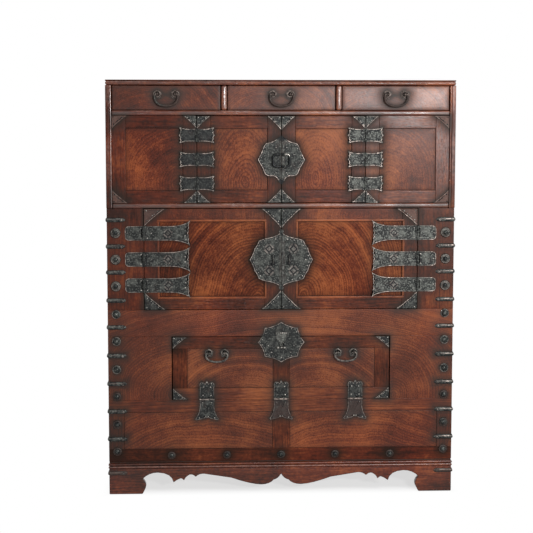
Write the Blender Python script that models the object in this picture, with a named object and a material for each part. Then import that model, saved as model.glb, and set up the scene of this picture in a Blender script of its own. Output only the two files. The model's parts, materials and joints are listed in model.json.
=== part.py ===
"""A tall chest with three drawers, two pairs of doors and a drop front, bound in iron.

Metres, +Z up. The front faces -Y and the floor is z = 0. The origin is the middle of the
floor rectangle that the whole chest covers, its handles included.
"""

from math import pi

import bmesh
import bpy
from mathutils import Matrix, Vector

# Fits
GAP = 0.0003            # between glued or resting faces
DOOR_GAP = 0.002        # round each door and between the two of a pair
DRAWER_GAP = 0.0015     # round each drawer front
RUNNER_GAP = 0.0004     # under each drawer

# Case
WIDTH = 1.220
CASE_DEPTH = 0.480      # from the face of the front boards to the back
SIDE_T = 0.0205
FRONT_T = 0.022         # fixed front boards
BACK_T = 0.012
NOSE_PROUD = 0.008      # upper boards in front of the door faces
NOSE_R = 0.006

# Levels, from the floor up
BASE_H = 0.0925
MOULDING_H = 0.0243
LOWER_FRONT_H = 0.2217
DROP_H = 0.2245
RAIL_H = 0.0945
MIDDLE_H = 0.358
WAIST_T = 0.0175
UPPER_H = 0.3045
DECK_T = 0.0175
DRAWER_H = 0.087
TOP_T = 0.018
SHELF_T = 0.018
BOTTOM_T = 0.018

# Front divisions
DIVIDER_T = 0.020
MIDDLE_STILE_W = 0.129
CHEEK_W = 0.225

# Frames of the doors and panels
DOOR_T = 0.020
UPPER_STILE_W = 0.047
UPPER_RAIL_W = 0.043
UPPER_SINK = 0.003
MIDDLE_HINGE_STILE_W = 0.053
MIDDLE_MEETING_STILE_W = 0.058
MIDDLE_RAIL_W = 0.045
MIDDLE_SINK = 0.005
DROP_STILE_W = 0.0505
DROP_CENTRE_W = 0.056
DROP_RAIL_W = 0.041
DROP_SINK = 0.003
LOWER_STILE_W = 0.053
LOWER_CENTRE_W = 0.060
LOWER_MID_RAIL_W = 0.042
LOWER_BOTTOM_RAIL_W = 0.044
LOWER_SINK = 0.003
BACK_SINK = 0.006       # hollow behind each door panel

# Drawers
DRAWER_FRONT_T = 0.018
DRAWER_BACK_ROOM = 0.048    # behind the drawers
DRAWER_SIDE_T = 0.010
DRAWER_FLOOR_T = 0.007
DRAWER_SIDE_STEP = 0.004
DRAWER_TOP_STEP = 0.008

# Bails and the eyes they swing in
BAIL_R = 0.0033
EYE_REACH = 0.012       # axis in front of the wood
EYE_R = 0.0065
EYE_BORE_R = 0.0040
EYE_LEN = 0.008
EYE_NECK = 0.008
BAIL_END = 0.002
DRAWER_BAIL_SPACING = 0.061
DRAWER_BAIL_WIDTH = 0.087
DRAWER_BAIL_DROP = 0.041
DRAWER_BAIL_BELOW_TOP = 0.032
DROP_BAIL_SPACING = 0.054
DROP_BAIL_WIDTH = 0.083
DROP_BAIL_DROP = 0.031
DROP_BAIL_FROM_END = 0.157
DROP_BAIL_BELOW_TOP = 0.0585

# Iron hinges
LEAF_T = 0.0022
AXIS_PROUD = 0.0035     # hinge axis in front of the wood
KNUCKLE_R = 0.0031
KNUCKLE_CLEAR = 0.0005
PIN_R = 0.0015
PIN_CLEAR = 0.0003
PIN_HEAD = 0.001
UPPER_LEAF_L = 0.063
UPPER_LEAF_H = 0.045
UPPER_LEAF_FLARE = 0.055
UPPER_HINGE_PITCH = 0.084
MIDDLE_LEAF_L = 0.066
MIDDLE_LEAF_H = 0.050
MIDDLE_HINGE_PITCH = 0.0915
STRAP_L = 0.163
STRAP_TIP = 0.007
DROP_LEAF_L = 0.067
DROP_LEAF_W = 0.051
DROP_TAIL_L = 0.070
DROP_TAIL_FLARE = 0.082
DROP_HINGE_FROM_END = 0.122

# Hasp on the drop front and its staple on the rail
HASP_PROUD = 0.0065
HASP_BELOW_TOP = 0.040
HASP_H = 0.062
HASP_W = 0.040
HASP_T = 0.0025
HASP_BACK = 0.0028      # behind the hasp, where a lock plate fits
HASP_KNUCKLE_R = 0.0038
HASP_KNUCKLE_L = 0.009
HASP_PIN_R = 0.0018
HASP_SLOT = 0.009
STAPLE_W = 0.0045
STAPLE_PROUD = 0.009
STAPLE_ABOVE_RAIL = 0.008

# Base
APRON_T = 0.024
APRON_PROUD = 0.003
MOULDING_PROUD = 0.006
MOULDING_SIDE_PROUD = 0.002
MOULDING_W = 0.060
MOULDING_STEP = 0.004
FOOT_W = 0.1174
BACK_FOOT_W = 0.110
BACK_ARCH_H = 0.060

# Worked out
HALF = WIDTH / 2
INNER = HALF - SIDE_T
REACH = EYE_REACH + EYE_R
FACE_Y = -(CASE_DEPTH - REACH) / 2
BACK_Y = FACE_Y + CASE_DEPTH
NOSE_Y = FACE_Y - NOSE_PROUD
INSIDE_FRONT_Y = FACE_Y + FRONT_T + GAP
INSIDE_BACK_Y = BACK_Y - BACK_T - GAP
Z_MOULDING = BASE_H
Z_CASE = Z_MOULDING + MOULDING_H
Z_DROP = Z_CASE + LOWER_FRONT_H
Z_RAIL = Z_DROP + DROP_H
Z_MIDDLE = Z_RAIL + RAIL_H
Z_WAIST = Z_MIDDLE + MIDDLE_H
Z_UPPER = Z_WAIST + WAIST_T
Z_DECK = Z_UPPER + UPPER_H
Z_DRAWER = Z_DECK + DECK_T
Z_TOP = Z_DRAWER + DRAWER_H
HEIGHT = Z_TOP + TOP_T
BAY = (2 * INNER - 2 * DIVIDER_T) / 3
BAY_PITCH = BAY + DIVIDER_T
WING_W = INNER / 2
MIDDLE_HINGE_X = HALF - MIDDLE_STILE_W
DROP_HALF = HALF - CHEEK_W
DROP_BAIL_X = DROP_HALF - DROP_BAIL_FROM_END
DROP_HINGE_X = DROP_HALF - DROP_HINGE_FROM_END
AXIS_Y = FACE_Y - AXIS_PROUD
LEAF_START = KNUCKLE_R + KNUCKLE_CLEAR
UPPER_MID_Z = Z_UPPER + UPPER_H / 2
MIDDLE_MID_Z = Z_MIDDLE + MIDDLE_H / 2
HASP_AXIS = Vector((0, FACE_Y - HASP_PROUD, Z_RAIL - HASP_BELOW_TOP))
EYE_Y = FACE_Y - EYE_REACH

CURVE_STEPS = 4
ROUND_SIDES = 12
WOOD_RED = (0.171, 0.050, 0.022, 1)
WOOD_DARK = (0.092, 0.030, 0.018, 1)
IRON_GREY = (0.045, 0.048, 0.042, 1)


def clear_scene():
    for old in list(bpy.data.objects):
        bpy.data.objects.remove(old)


def collection(name):
    made = bpy.data.collections.new(name)
    bpy.context.scene.collection.children.link(made)
    return made


def finish(name, colour, roughness, metallic):
    made = bpy.data.materials.new(name)
    made.use_nodes = True
    shader = made.node_tree.nodes["Principled BSDF"]
    shader.inputs["Base Color"].default_value = colour
    shader.inputs["Roughness"].default_value = roughness
    shader.inputs["Metallic"].default_value = metallic
    return made


clear_scene()
PARTS = collection("bandaji_chest")
BENCH = collection("cutters")


# Shapes
def tidy(mesh):
    """Welds a mesh and turns its faces outwards."""
    bm = bmesh.new()
    bm.from_mesh(mesh)
    bmesh.ops.remove_doubles(bm, verts=bm.verts, dist=0.000001)
    bmesh.ops.recalc_face_normals(bm, faces=bm.faces)
    bm.to_mesh(mesh)
    bm.free()
    return mesh


def evaluated_mesh(data, modify=None):
    """The mesh that a mesh or curve gives once its modifiers have run."""
    bench = bpy.data.objects.new("bench", data)
    BENCH.objects.link(bench)
    if modify:
        modify(bench)
    graph = bpy.context.evaluated_depsgraph_get()
    mesh = bpy.data.meshes.new_from_object(bench.evaluated_get(graph))
    bpy.data.objects.remove(bench)
    return mesh


def combine(mesh, operation, *tools):
    """A mesh joined with, or cut by, other meshes."""
    for tool in tools:
        cutter = bpy.data.objects.new("cutter", tool)
        cutter.hide_render = True
        cutter.display_type = "WIRE"
        BENCH.objects.link(cutter)

        def boolean(bench, cutter=cutter):
            modifier = bench.modifiers.new("boolean", "BOOLEAN")
            modifier.operation = operation
            modifier.object = cutter

        mesh = evaluated_mesh(mesh, boolean)
        bpy.data.objects.remove(cutter)
    return tidy(mesh)


def join(mesh, *tools):
    return combine(mesh, "UNION", *tools)


def cut(mesh, *tools):
    return combine(mesh, "DIFFERENCE", *tools)


def block(low, high):
    """A box between two corners."""
    bm = bmesh.new()
    bmesh.ops.create_cube(bm, size=1)
    low = Vector(low)
    high = Vector(high)
    bmesh.ops.scale(bm, verts=bm.verts, vec=high - low)
    bmesh.ops.translate(bm, verts=bm.verts, vec=(low + high) / 2)
    mesh = bpy.data.meshes.new("block")
    bm.to_mesh(mesh)
    bm.free()
    return mesh


def nosed(low, high, along, radius):
    """A box whose two front edges along one axis are rounded."""
    mesh = block(low, high)
    bm = bmesh.new()
    bm.from_mesh(mesh)
    front = min(low[1], high[1])
    edges = []
    for edge in bm.edges:
        run = edge.verts[1].co - edge.verts[0].co
        at_front = all(abs(vert.co.y - front) < GAP for vert in edge.verts)
        if at_front and abs(run[along]) > GAP:
            edges.append(edge)
    bmesh.ops.bevel(bm, geom=edges, offset=radius, segments=3, profile=0.5, affect="EDGES")
    bm.to_mesh(mesh)
    bm.free()
    return mesh


def rod(radius, start, end):
    """A cylinder between two points."""
    start = Vector(start)
    end = Vector(end)
    run = end - start
    bm = bmesh.new()
    turn = run.to_track_quat("Z", "Y").to_matrix().to_4x4()
    place = Matrix.Translation((start + end) / 2) @ turn
    bmesh.ops.create_cone(bm, cap_ends=True, segments=ROUND_SIDES, radius1=radius, radius2=radius,
                          depth=run.length, matrix=place)
    mesh = bpy.data.meshes.new("rod")
    bm.to_mesh(mesh)
    bm.free()
    return mesh


def outline(start, *steps):
    """Points from a start through straight steps, or through bends given as (control, end)."""
    points = [start]
    for step in steps:
        if not isinstance(step[0], tuple):
            points.append(step)
            continue
        control, end = step
        first = points[-1]
        for index in range(1, CURVE_STEPS + 1):
            t = index / CURVE_STEPS
            points.append(tuple((1 - t) ** 2 * a + 2 * t * (1 - t) * b + t ** 2 * c
                                for a, b, c in zip(first, control, end)))
    return points


def flat(thickness, middle_y, *outlines):
    """A plate in the XZ plane; outlines after the first are holes."""
    curve = bpy.data.curves.new("outline", "CURVE")
    curve.dimensions = "2D"
    curve.fill_mode = "BOTH"
    curve.extrude = thickness / 2
    for points in outlines:
        spline = curve.splines.new("POLY")
        spline.points.add(len(points) - 1)
        for point, (x, z) in zip(spline.points, points):
            point.co = (x, z, 0, 1)
        spline.use_cyclic_u = True
    mesh = tidy(evaluated_mesh(curve))
    mesh.transform(Matrix.Translation((0, middle_y, 0)) @ Matrix.Rotation(pi / 2, 4, "X"))
    return mesh


def wire(radius, points):
    """A round wire through points of the XZ plane."""
    curve = bpy.data.curves.new("wire", "CURVE")
    curve.dimensions = "3D"
    curve.bevel_depth = radius
    curve.bevel_resolution = 2
    curve.render_resolution_u = 0
    curve.use_fill_caps = True
    spline = curve.splines.new("POLY")
    spline.points.add(len(points) - 1)
    for point, (x, z) in zip(spline.points, points):
        point.co = (x, 0, z, 1)
    return tidy(evaluated_mesh(curve))


# Placing
def pivot(name, place, parent=None):
    """An empty on a joint's axis."""
    empty = bpy.data.objects.new(name, None)
    empty.matrix_world = Matrix.Translation(place)
    PARTS.objects.link(empty)
    if parent:
        attach(empty, parent)
    return empty


def attach(child, parent):
    bpy.context.view_layer.update()
    child.parent = parent
    child.matrix_parent_inverse = parent.matrix_world.inverted()


def piece(name, mesh, material, parent=None, place=None):
    """A named sub-part; without a place its mesh already holds world coordinates."""
    made = bpy.data.objects.new(name, mesh)
    if not mesh.materials:
        mesh.materials.append(material)
    made.matrix_world = place or Matrix.Identity(4)
    PARTS.objects.link(made)
    if parent:
        attach(made, parent)
    return made


def sides():
    """The two sides with the sign of their X."""
    return (("left", -1), ("right", 1))


def spread(sign, near, far):
    """An X range from two distances off the middle, low end first."""
    return sorted((sign * near, sign * far))


WOOD = finish("red_wood", WOOD_RED, 0.42, 0)
FRAME_WOOD = finish("dark_wood", WOOD_DARK, 0.45, 0)
IRON = finish("dark_iron", IRON_GREY, 0.5, 0.85)


# Base
def both_sides(half):
    """An opening from its middle to one foot, and the same on the other side, closed under the floor."""
    foot_x = half[-1][0]
    right = half + [(foot_x, -BASE_H)]
    return right + [(-x, z) for x, z in reversed(right)][:-1]


def apron_opening():
    """Under the front apron: feet and scallops follow the ends, the middle lobes the centre."""
    def end(inwards, z):
        return (HALF - inwards, z)

    return both_sides(outline(
        (0, 0.0686),
        ((0.010, 0.050), (0.0265, 0.0468)),
        ((0.040, 0.0300), (0.0709, 0.0299)),
        ((0.110, 0.0310), (0.177, 0.0554)),
        end(0.336, 0.0707),
        (end(0.318, 0.0720), end(0.3058, 0.0598)),
        (end(0.296, 0.0710), end(0.2843, 0.0680)),
        (end(0.268, 0.0600), end(0.2646, 0.0468)),
        (end(0.257, 0.0560), end(0.252, 0.0546)),
        (end(0.238, 0.0500), end(0.2273, 0.0400)),
        (end(0.222, 0.0740), end(0.1715, 0.0765)),
        (end(0.140, 0.0765), end(FOOT_W, 0.0543)),
        (end(FOOT_W + 0.018, 0.0350), end(FOOT_W + 0.0100, 0.0200)),
        end(FOOT_W, 0),
    ))


def arch_opening(half_length):
    """Under a side or back apron: a plain arch between two feet."""
    foot_x = half_length - BACK_FOOT_W
    return both_sides(outline(
        (0, BACK_ARCH_H),
        (foot_x - BACK_ARCH_H, BACK_ARCH_H),
        ((foot_x, BACK_ARCH_H), (foot_x, 0)),
    ))


def make_base():
    front_y = FACE_Y - APRON_PROUD
    solid = block((-HALF, front_y, 0), (HALF, BACK_Y, BASE_H - GAP))
    inside = block((-HALF + APRON_T, front_y + APRON_T, -BASE_H),
                   (HALF - APRON_T, BACK_Y - APRON_T, 2 * BASE_H))
    run = (BACK_Y - front_y) / 2
    front = flat(2 * APRON_T + GAP, front_y, apron_opening())
    back = flat(2 * APRON_T + GAP, BACK_Y, arch_opening(HALF))
    across = flat(2 * WIDTH, 0, arch_opening(run))
    across.transform(Matrix.Translation((0, front_y + run, 0)) @ Matrix.Rotation(pi / 2, 4, "Z"))
    piece("base_stand", cut(solid, inside, front, back, across), FRAME_WOOD)

    outer_x = HALF + MOULDING_SIDE_PROUD
    outer_y = FACE_Y - MOULDING_PROUD
    half_h = MOULDING_H / 2
    low = block((-outer_x, outer_y, Z_MOULDING), (outer_x, BACK_Y, Z_MOULDING + half_h))
    step_x = outer_x - MOULDING_STEP
    high = block((-step_x, outer_y + MOULDING_STEP, Z_MOULDING),
                 (step_x, BACK_Y, Z_CASE - GAP))
    hole = block((-HALF + MOULDING_W, FACE_Y + MOULDING_W, 0),
                 (HALF - MOULDING_W, BACK_Y - MOULDING_W, Z_CASE + MOULDING_H))
    piece("base_moulding", cut(join(low, high), hole), FRAME_WOOD)


# Fixed case
def make_case():
    for side, sign in sides():
        x0, x1 = spread(sign, INNER, HALF)
        lower = block((x0, INSIDE_FRONT_Y, Z_CASE), (x1, BACK_Y, Z_TOP - GAP))
        upper = nosed((x0, NOSE_Y, Z_WAIST + GAP), (x1, BACK_Y - BACK_T, Z_TOP - GAP), 2, NOSE_R)
        piece(f"side_{side}", join(lower, upper), FRAME_WOOD)

        x0, x1 = spread(sign, MIDDLE_HINGE_X + DOOR_GAP / 2, HALF)
        piece(f"middle_stile_{side}",
              block((x0, FACE_Y, Z_MIDDLE + GAP), (x1, FACE_Y + FRONT_T, Z_WAIST - GAP)), FRAME_WOOD)

        x0, x1 = spread(sign, DROP_HALF + DOOR_GAP, HALF)
        piece(f"cheek_{side}",
              block((x0, FACE_Y, Z_DROP + GAP), (x1, FACE_Y + FRONT_T, Z_RAIL - GAP)), WOOD)

    inside = INNER - GAP
    piece("back_panel",
          block((-inside, BACK_Y - BACK_T, Z_CASE), (inside, BACK_Y, Z_TOP - GAP)), WOOD)
    boards = (("bottom_board", Z_CASE, BOTTOM_T), ("lower_shelf", Z_MIDDLE - SHELF_T, SHELF_T))
    for name, z, thickness in boards:
        piece(name, block((-inside, INSIDE_FRONT_Y, z), (inside, INSIDE_BACK_Y, z + thickness)), WOOD)
    for name, z, thickness in (("waist_board", Z_WAIST, WAIST_T), ("drawer_deck", Z_DECK, DECK_T)):
        piece(name, nosed((-inside, NOSE_Y, z), (inside, INSIDE_BACK_Y, z + thickness), 0, NOSE_R),
              FRAME_WOOD)
    piece("top_board", nosed((-HALF, NOSE_Y, Z_TOP), (HALF, BACK_Y, HEIGHT), 0, NOSE_R), FRAME_WOOD)
    for side, sign in sides():
        middle = sign * (BAY + DIVIDER_T) / 2
        piece(f"drawer_divider_{side}",
              nosed((middle - DIVIDER_T / 2, NOSE_Y, Z_DRAWER + GAP),
                    (middle + DIVIDER_T / 2, INSIDE_BACK_Y, Z_TOP - GAP), 2, NOSE_R), FRAME_WOOD)


def make_rail():
    rail = block((-HALF, FACE_Y, Z_RAIL), (HALF, FACE_Y + FRONT_T, Z_MIDDLE))
    staple_z = Z_RAIL + STAPLE_ABOVE_RAIL
    half = STAPLE_W / 2
    staple = block((-half, FACE_Y - STAPLE_PROUD, staple_z - half), (half, FACE_Y + half, staple_z + half))
    piece("lower_top_rail", join(rail, staple), FRAME_WOOD)


def sunk_panel(x0, x1, z0, z1, depth):
    """Cutter that sinks a panel into a front board."""
    return block((x0, FACE_Y - depth, z0), (x1, FACE_Y + depth, z1))


def make_lower_front():
    board = block((-HALF, FACE_Y, Z_CASE), (HALF, FACE_Y + FRONT_T, Z_DROP - DOOR_GAP))
    panels = []
    for _, sign in sides():
        x0, x1 = spread(sign, LOWER_CENTRE_W / 2, HALF - LOWER_STILE_W)
        panels.append(sunk_panel(x0, x1, Z_CASE + LOWER_BOTTOM_RAIL_W, Z_DROP - LOWER_MID_RAIL_W,
                                 LOWER_SINK))
    piece("lower_front", cut(board, *panels), WOOD)


# Doors
def framed(x0, x1, z0, z1, frame, sink):
    """A framed door: its panel is sunk in front and hollow behind."""
    left, right, bottom, top = frame
    slab = block((x0, FACE_Y, z0), (x1, FACE_Y + DOOR_T, z1))
    inner = (x0 + left, x1 - right, z0 + bottom, z1 - top)
    front = sunk_panel(*inner, sink)
    back_y = FACE_Y + DOOR_T
    back = block((inner[0], back_y - BACK_SINK, inner[2]), (inner[1], back_y + BACK_SINK, inner[3]))
    return cut(slab, front, back)


def make_upper_front():
    frame = (UPPER_STILE_W, UPPER_STILE_W, UPPER_RAIL_W, UPPER_RAIL_W)
    for side, sign in sides():
        x0, x1 = spread(sign, WING_W + DOOR_GAP / 2, INNER - GAP)
        piece(f"wing_{side}", framed(x0, x1, Z_UPPER + GAP, Z_DECK - GAP, frame, UPPER_SINK), WOOD)
        hinge = pivot(f"upper_door_{side}_axis", (sign * WING_W, AXIS_Y, UPPER_MID_Z))
        x0, x1 = spread(sign, DOOR_GAP / 2, WING_W - DOOR_GAP / 2)
        door = framed(x0, x1, Z_UPPER + DOOR_GAP, Z_DECK - DOOR_GAP, frame, UPPER_SINK)
        piece(f"upper_door_{side}", door, WOOD, hinge)
        for index in (-1, 0, 1):
            place = Vector((sign * WING_W, AXIS_Y, UPPER_MID_Z + index * UPPER_HINGE_PITCH))
            tag = f"{side}_{2 - index}"
            piece(f"upper_hinge_fixed_{tag}", UPPER_FIXED, IRON, None, facing(place, sign))
            piece(f"upper_hinge_moving_{tag}", UPPER_MOVING, IRON, hinge, facing(place, -sign))


def make_middle_doors():
    for side, sign in sides():
        hinge = pivot(f"middle_door_{side}_axis", (sign * MIDDLE_HINGE_X, AXIS_Y, MIDDLE_MID_Z))
        x0, x1 = spread(sign, DOOR_GAP / 2, MIDDLE_HINGE_X - DOOR_GAP / 2)
        stiles = (MIDDLE_HINGE_STILE_W, MIDDLE_MEETING_STILE_W)
        frame = stiles[::-sign] + (MIDDLE_RAIL_W, MIDDLE_RAIL_W)
        door = framed(x0, x1, Z_MIDDLE + DOOR_GAP, Z_WAIST - DOOR_GAP, frame, MIDDLE_SINK)
        piece(f"middle_door_{side}", door, WOOD, hinge)
        place = Vector((sign * MIDDLE_HINGE_X, AXIS_Y, MIDDLE_MID_Z))
        piece(f"middle_straps_{side}", STRAPS, IRON, hinge, facing(place, -sign))
        for index in (-1, 0, 1):
            place.z = MIDDLE_MID_Z + index * MIDDLE_HINGE_PITCH
            piece(f"middle_hinge_fixed_{side}_{2 - index}", MIDDLE_FIXED, IRON, None, facing(place, sign))


def make_drop_front():
    hinge = pivot("drop_front_axis", (0, AXIS_Y, Z_DROP))
    x1 = DROP_HALF
    z0 = Z_DROP
    z1 = Z_RAIL - DOOR_GAP
    slab = block((-x1, FACE_Y, z0), (x1, FACE_Y + DOOR_T, z1))
    panels = []
    back_y = FACE_Y + DOOR_T
    for _, sign in sides():
        near, far = spread(sign, DROP_CENTRE_W / 2, DROP_HALF - DROP_STILE_W)
        panel_z = (z0 + DROP_RAIL_W, z1 - DROP_RAIL_W)
        panels.append(sunk_panel(near, far, *panel_z, DROP_SINK))
        panels.append(block((near, back_y - BACK_SINK, panel_z[0]), (far, back_y + BACK_SINK, panel_z[1])))
    slab = cut(slab, *panels)
    bail_z = Z_RAIL - DROP_BAIL_BELOW_TOP
    for _, sign in sides():
        slab = with_eyes(slab, sign * DROP_BAIL_X, bail_z, DROP_BAIL_SPACING, DROP_SINK)
    slab = join(slab, *hasp_knuckles())
    piece("drop_front", slab, WOOD, hinge)
    for side, sign in sides():
        make_bail(f"drop_front_bail_{side}", sign * DROP_BAIL_X, bail_z,
                  (DROP_BAIL_SPACING, DROP_BAIL_WIDTH, DROP_BAIL_DROP), hinge)
    for side, sign in (("left", -1), ("centre", 0), ("right", 1)):
        place = Matrix.Translation((sign * DROP_HINGE_X, AXIS_Y, Z_DROP))
        up = Matrix.Rotation(-pi / 2, 4, "Y")
        down = Matrix.Rotation(pi / 2, 4, "Y")
        piece(f"drop_hinge_fixed_{side}", DROP_FIXED, IRON, None, place @ down)
        piece(f"drop_hinge_moving_{side}", DROP_MOVING, IRON, hinge, place @ up)
    make_hasp(hinge)


# Hinges
def facing(place, sign):
    """A hinge leaf made towards +X, turned to the side that its sign gives."""
    turn = Matrix.Rotation(0 if sign > 0 else pi, 4, "Y")
    return Matrix.Translation(place) @ turn


def knuckle_edge(height, fixed, middle=0):
    """The edge of a leaf along its pin, from low to high, with tabs where its knuckles are."""
    third = height / 6
    low = middle - height / 2
    high = middle + height / 2
    if fixed:
        inner = third + KNUCKLE_CLEAR
        return [(0, low), (0, middle - inner), (LEAF_START, middle - inner),
                (LEAF_START, middle + inner), (0, middle + inner), (0, high)]
    inner = third - KNUCKLE_CLEAR
    return [(LEAF_START, low), (LEAF_START, middle - inner), (0, middle - inner),
            (0, middle + inner), (LEAF_START, middle + inner), (LEAF_START, high)]


def leaf_plate(points):
    back = AXIS_PROUD - GAP
    return flat(LEAF_T, back - LEAF_T / 2, points)


def fixed_leaf(height, edge):
    """A leaf with its two outer knuckles and the pin between them."""
    third = height / 6
    end = height / 2 + PIN_HEAD
    knuckles = [rod(KNUCKLE_R, (0, 0, sign * (third + KNUCKLE_CLEAR / 2)), (0, 0, sign * end))
                for _, sign in sides()]
    pin = rod(PIN_R, (0, 0, -height / 2), (0, 0, height / 2))
    return join(leaf_plate(knuckle_edge(height, True) + edge), *knuckles, pin)


def centre_knuckle(height, middle=0):
    reach = height / 6 - KNUCKLE_CLEAR / 2
    return rod(KNUCKLE_R, (0, 0, middle - reach), (0, 0, middle + reach))


def moving_leaf(height, edge):
    """A leaf with its centre knuckle, bored for the pin."""
    solid = join(leaf_plate(knuckle_edge(height, False) + edge), centre_knuckle(height))
    return cut(solid, rod(PIN_R + PIN_CLEAR, (0, 0, -height), (0, 0, height)))


def both_halves(upper):
    """An outline from the top of a leaf to its point, and back along the lower half."""
    return upper + [(x, -z) for x, z in reversed(upper[:-1])]


def butterfly_edge():
    length = UPPER_LEAF_L
    tip = UPPER_LEAF_FLARE / 2
    upper = outline((LEAF_START, UPPER_LEAF_H / 2),
                    ((length * 0.6, UPPER_LEAF_H * 0.40), (length * 0.93, tip)),
                    ((length * 0.84, tip * 0.45), (length, 0)))
    return both_halves(upper)[1:-1]


def round_end_edge():
    length = MIDDLE_LEAF_L
    half = MIDDLE_LEAF_H / 2
    upper = outline((LEAF_START, half), (length - half * 0.7, half),
                    ((length, half), (length, half * 0.3)), (length, 0))
    return both_halves(upper)[1:-1]


def trefoil_edge():
    length = DROP_LEAF_L
    half = DROP_LEAF_W / 2
    upper = outline((LEAF_START, half), (length * 0.62, half),
                    ((length * 0.86, half * 1.05), (length * 0.84, half * 0.45)),
                    ((length * 0.92, half * 0.35), (length, 0)))
    return both_halves(upper)[1:-1]


def fishtail_edge():
    length = DROP_TAIL_L
    half = DROP_LEAF_W / 2
    tip = DROP_TAIL_FLARE / 2
    upper = outline((LEAF_START, half), ((length * 0.6, half * 0.8), (length * 0.95, tip)),
                    ((length * 0.80, tip * 0.5), (length, 0)))
    return both_halves(upper)[1:-1]


def strap_plate():
    """Three straps whose fishtails run into each other, with their knuckles."""
    half = MIDDLE_LEAF_H / 2
    pitch = MIDDLE_HINGE_PITCH
    waist = STRAP_L * 0.62
    inner_tip = STRAP_L - STRAP_TIP

    def flare(middle, sign):
        return outline((LEAF_START, middle + sign * half), (waist, middle + sign * half),
                       ((inner_tip - STRAP_TIP, middle + sign * half),
                        (inner_tip, middle + sign * pitch / 2)))

    points = []
    for index in (-1, 0, 1):
        middle = index * pitch
        points += flare(middle, -1)[::-1][:-1]
        points += knuckle_edge(MIDDLE_LEAF_H, False, middle)
        rise = flare(middle, 1)[1:]
        points += rise if index == 1 else rise[:-1]
    for index in (1, 0, -1):
        middle = index * pitch
        points.append((STRAP_L, middle + pitch / 2))
        end = outline((STRAP_L, middle + pitch / 2),
                      ((STRAP_L - 2 * STRAP_TIP, middle + pitch / 4), (STRAP_L, middle)),
                      ((STRAP_L - 2 * STRAP_TIP, middle - pitch / 4), (STRAP_L, middle - pitch / 2)))
        points += end[1:-1]
    points.append((STRAP_L, -1.5 * pitch))
    knuckles = [centre_knuckle(MIDDLE_LEAF_H, index * pitch) for index in (-1, 0, 1)]
    reach = 2 * pitch
    return cut(join(leaf_plate(points), *knuckles),
               rod(PIN_R + PIN_CLEAR, (0, 0, -reach), (0, 0, reach)))


UPPER_FIXED = fixed_leaf(UPPER_LEAF_H, butterfly_edge())
UPPER_MOVING = moving_leaf(UPPER_LEAF_H, butterfly_edge())
MIDDLE_FIXED = fixed_leaf(MIDDLE_LEAF_H, round_end_edge())
STRAPS = strap_plate()
DROP_FIXED = fixed_leaf(DROP_LEAF_W, fishtail_edge())
DROP_MOVING = moving_leaf(DROP_LEAF_W, trefoil_edge())


# Bails
def with_eyes(mesh, x, z, spacing, sunk=0):
    """A front board with two bored eyes for a bail."""
    eyes = []
    for _, sign in sides():
        middle = x + sign * spacing / 2
        ends = (middle - EYE_LEN / 2, middle + EYE_LEN / 2)
        eyes.append(rod(EYE_R, (ends[0], EYE_Y, z), (ends[1], EYE_Y, z)))
        half = EYE_NECK / 2
        eyes.append(block((ends[0] + GAP, EYE_Y, z - half), (ends[1] - GAP, FACE_Y + sunk + half, z + half)))
    bore = rod(EYE_BORE_R, (x - spacing, EYE_Y, z), (x + spacing, EYE_Y, z))
    eye_pair = [cut(join(eyes[i], eyes[i + 1]), bore) for i in (0, 2)]
    return join(mesh, *eye_pair)


def make_bail(name, x, z, sizes, parent):
    spacing, width, drop = sizes
    inner = spacing / 2 - EYE_LEN / 2 - BAIL_END
    outer = spacing / 2 + EYE_LEN / 2
    arm = width / 2 - BAIL_R
    half = outline((inner, 0), (outer, 0), ((arm, 0), (arm, -(arm - outer) - BAIL_R)),
                   (arm, -drop * 0.55), ((arm, -drop), (arm * 0.6, -drop)))
    points = [(-x, z) for x, z in half] + half[::-1]
    hinge = pivot(f"{name}_axis", (x, EYE_Y, z), parent)
    piece(name, wire(BAIL_R, points), IRON, hinge, Matrix.Translation((x, EYE_Y, z)))


# Hasp
def hasp_knuckles():
    """The two outer knuckles and the pin that carry the hasp on the drop front."""
    y, z = HASP_AXIS.y, HASP_AXIS.z
    near = HASP_KNUCKLE_L / 2 + KNUCKLE_CLEAR / 2
    far = near + HASP_KNUCKLE_L
    half = HASP_KNUCKLE_R / 2
    made = []
    for _, sign in sides():
        made.append(rod(HASP_KNUCKLE_R, (sign * near, y, z), (sign * far, y, z)))
        x0, x1 = spread(sign, near + GAP, far - GAP)
        made.append(block((x0, y, z - half), (x1, FACE_Y + half, z + half)))
    made.append(rod(HASP_PIN_R, (-far, y, z), (far, y, z)))
    return made


def make_hasp(drop_hinge):
    reach = HASP_KNUCKLE_L / 2 - KNUCKLE_CLEAR / 2
    back = HASP_PROUD - HASP_BACK
    half = HASP_W / 2
    neck = HASP_KNUCKLE_R + KNUCKLE_CLEAR
    right = outline((reach - GAP, 0), (reach - GAP, neck),
                    ((half * 0.9, HASP_H * 0.35), (half * 0.8, HASP_H * 0.62)),
                    ((half * 0.8, HASP_H * 0.75), (half, HASP_H * 0.78)), (half, HASP_H))
    shield = right + [(-x, z) for x, z in reversed(right)]
    slot_z = HASP_BELOW_TOP + STAPLE_ABOVE_RAIL
    reach_slot = HASP_SLOT / 2
    slot = [(-reach_slot, slot_z - reach_slot), (reach_slot, slot_z - reach_slot),
            (reach_slot, slot_z + reach_slot), (-reach_slot, slot_z + reach_slot)]
    plate = flat(HASP_T, back - HASP_T / 2, shield, slot)
    solid = join(plate, rod(HASP_KNUCKLE_R, (-reach, 0, 0), (reach, 0, 0)))
    solid = cut(solid, rod(HASP_PIN_R + PIN_CLEAR, (-half, 0, 0), (half, 0, 0)))
    hinge = pivot("hasp_axis", HASP_AXIS, drop_hinge)
    piece("hasp", solid, IRON, hinge, Matrix.Translation(HASP_AXIS))


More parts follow.
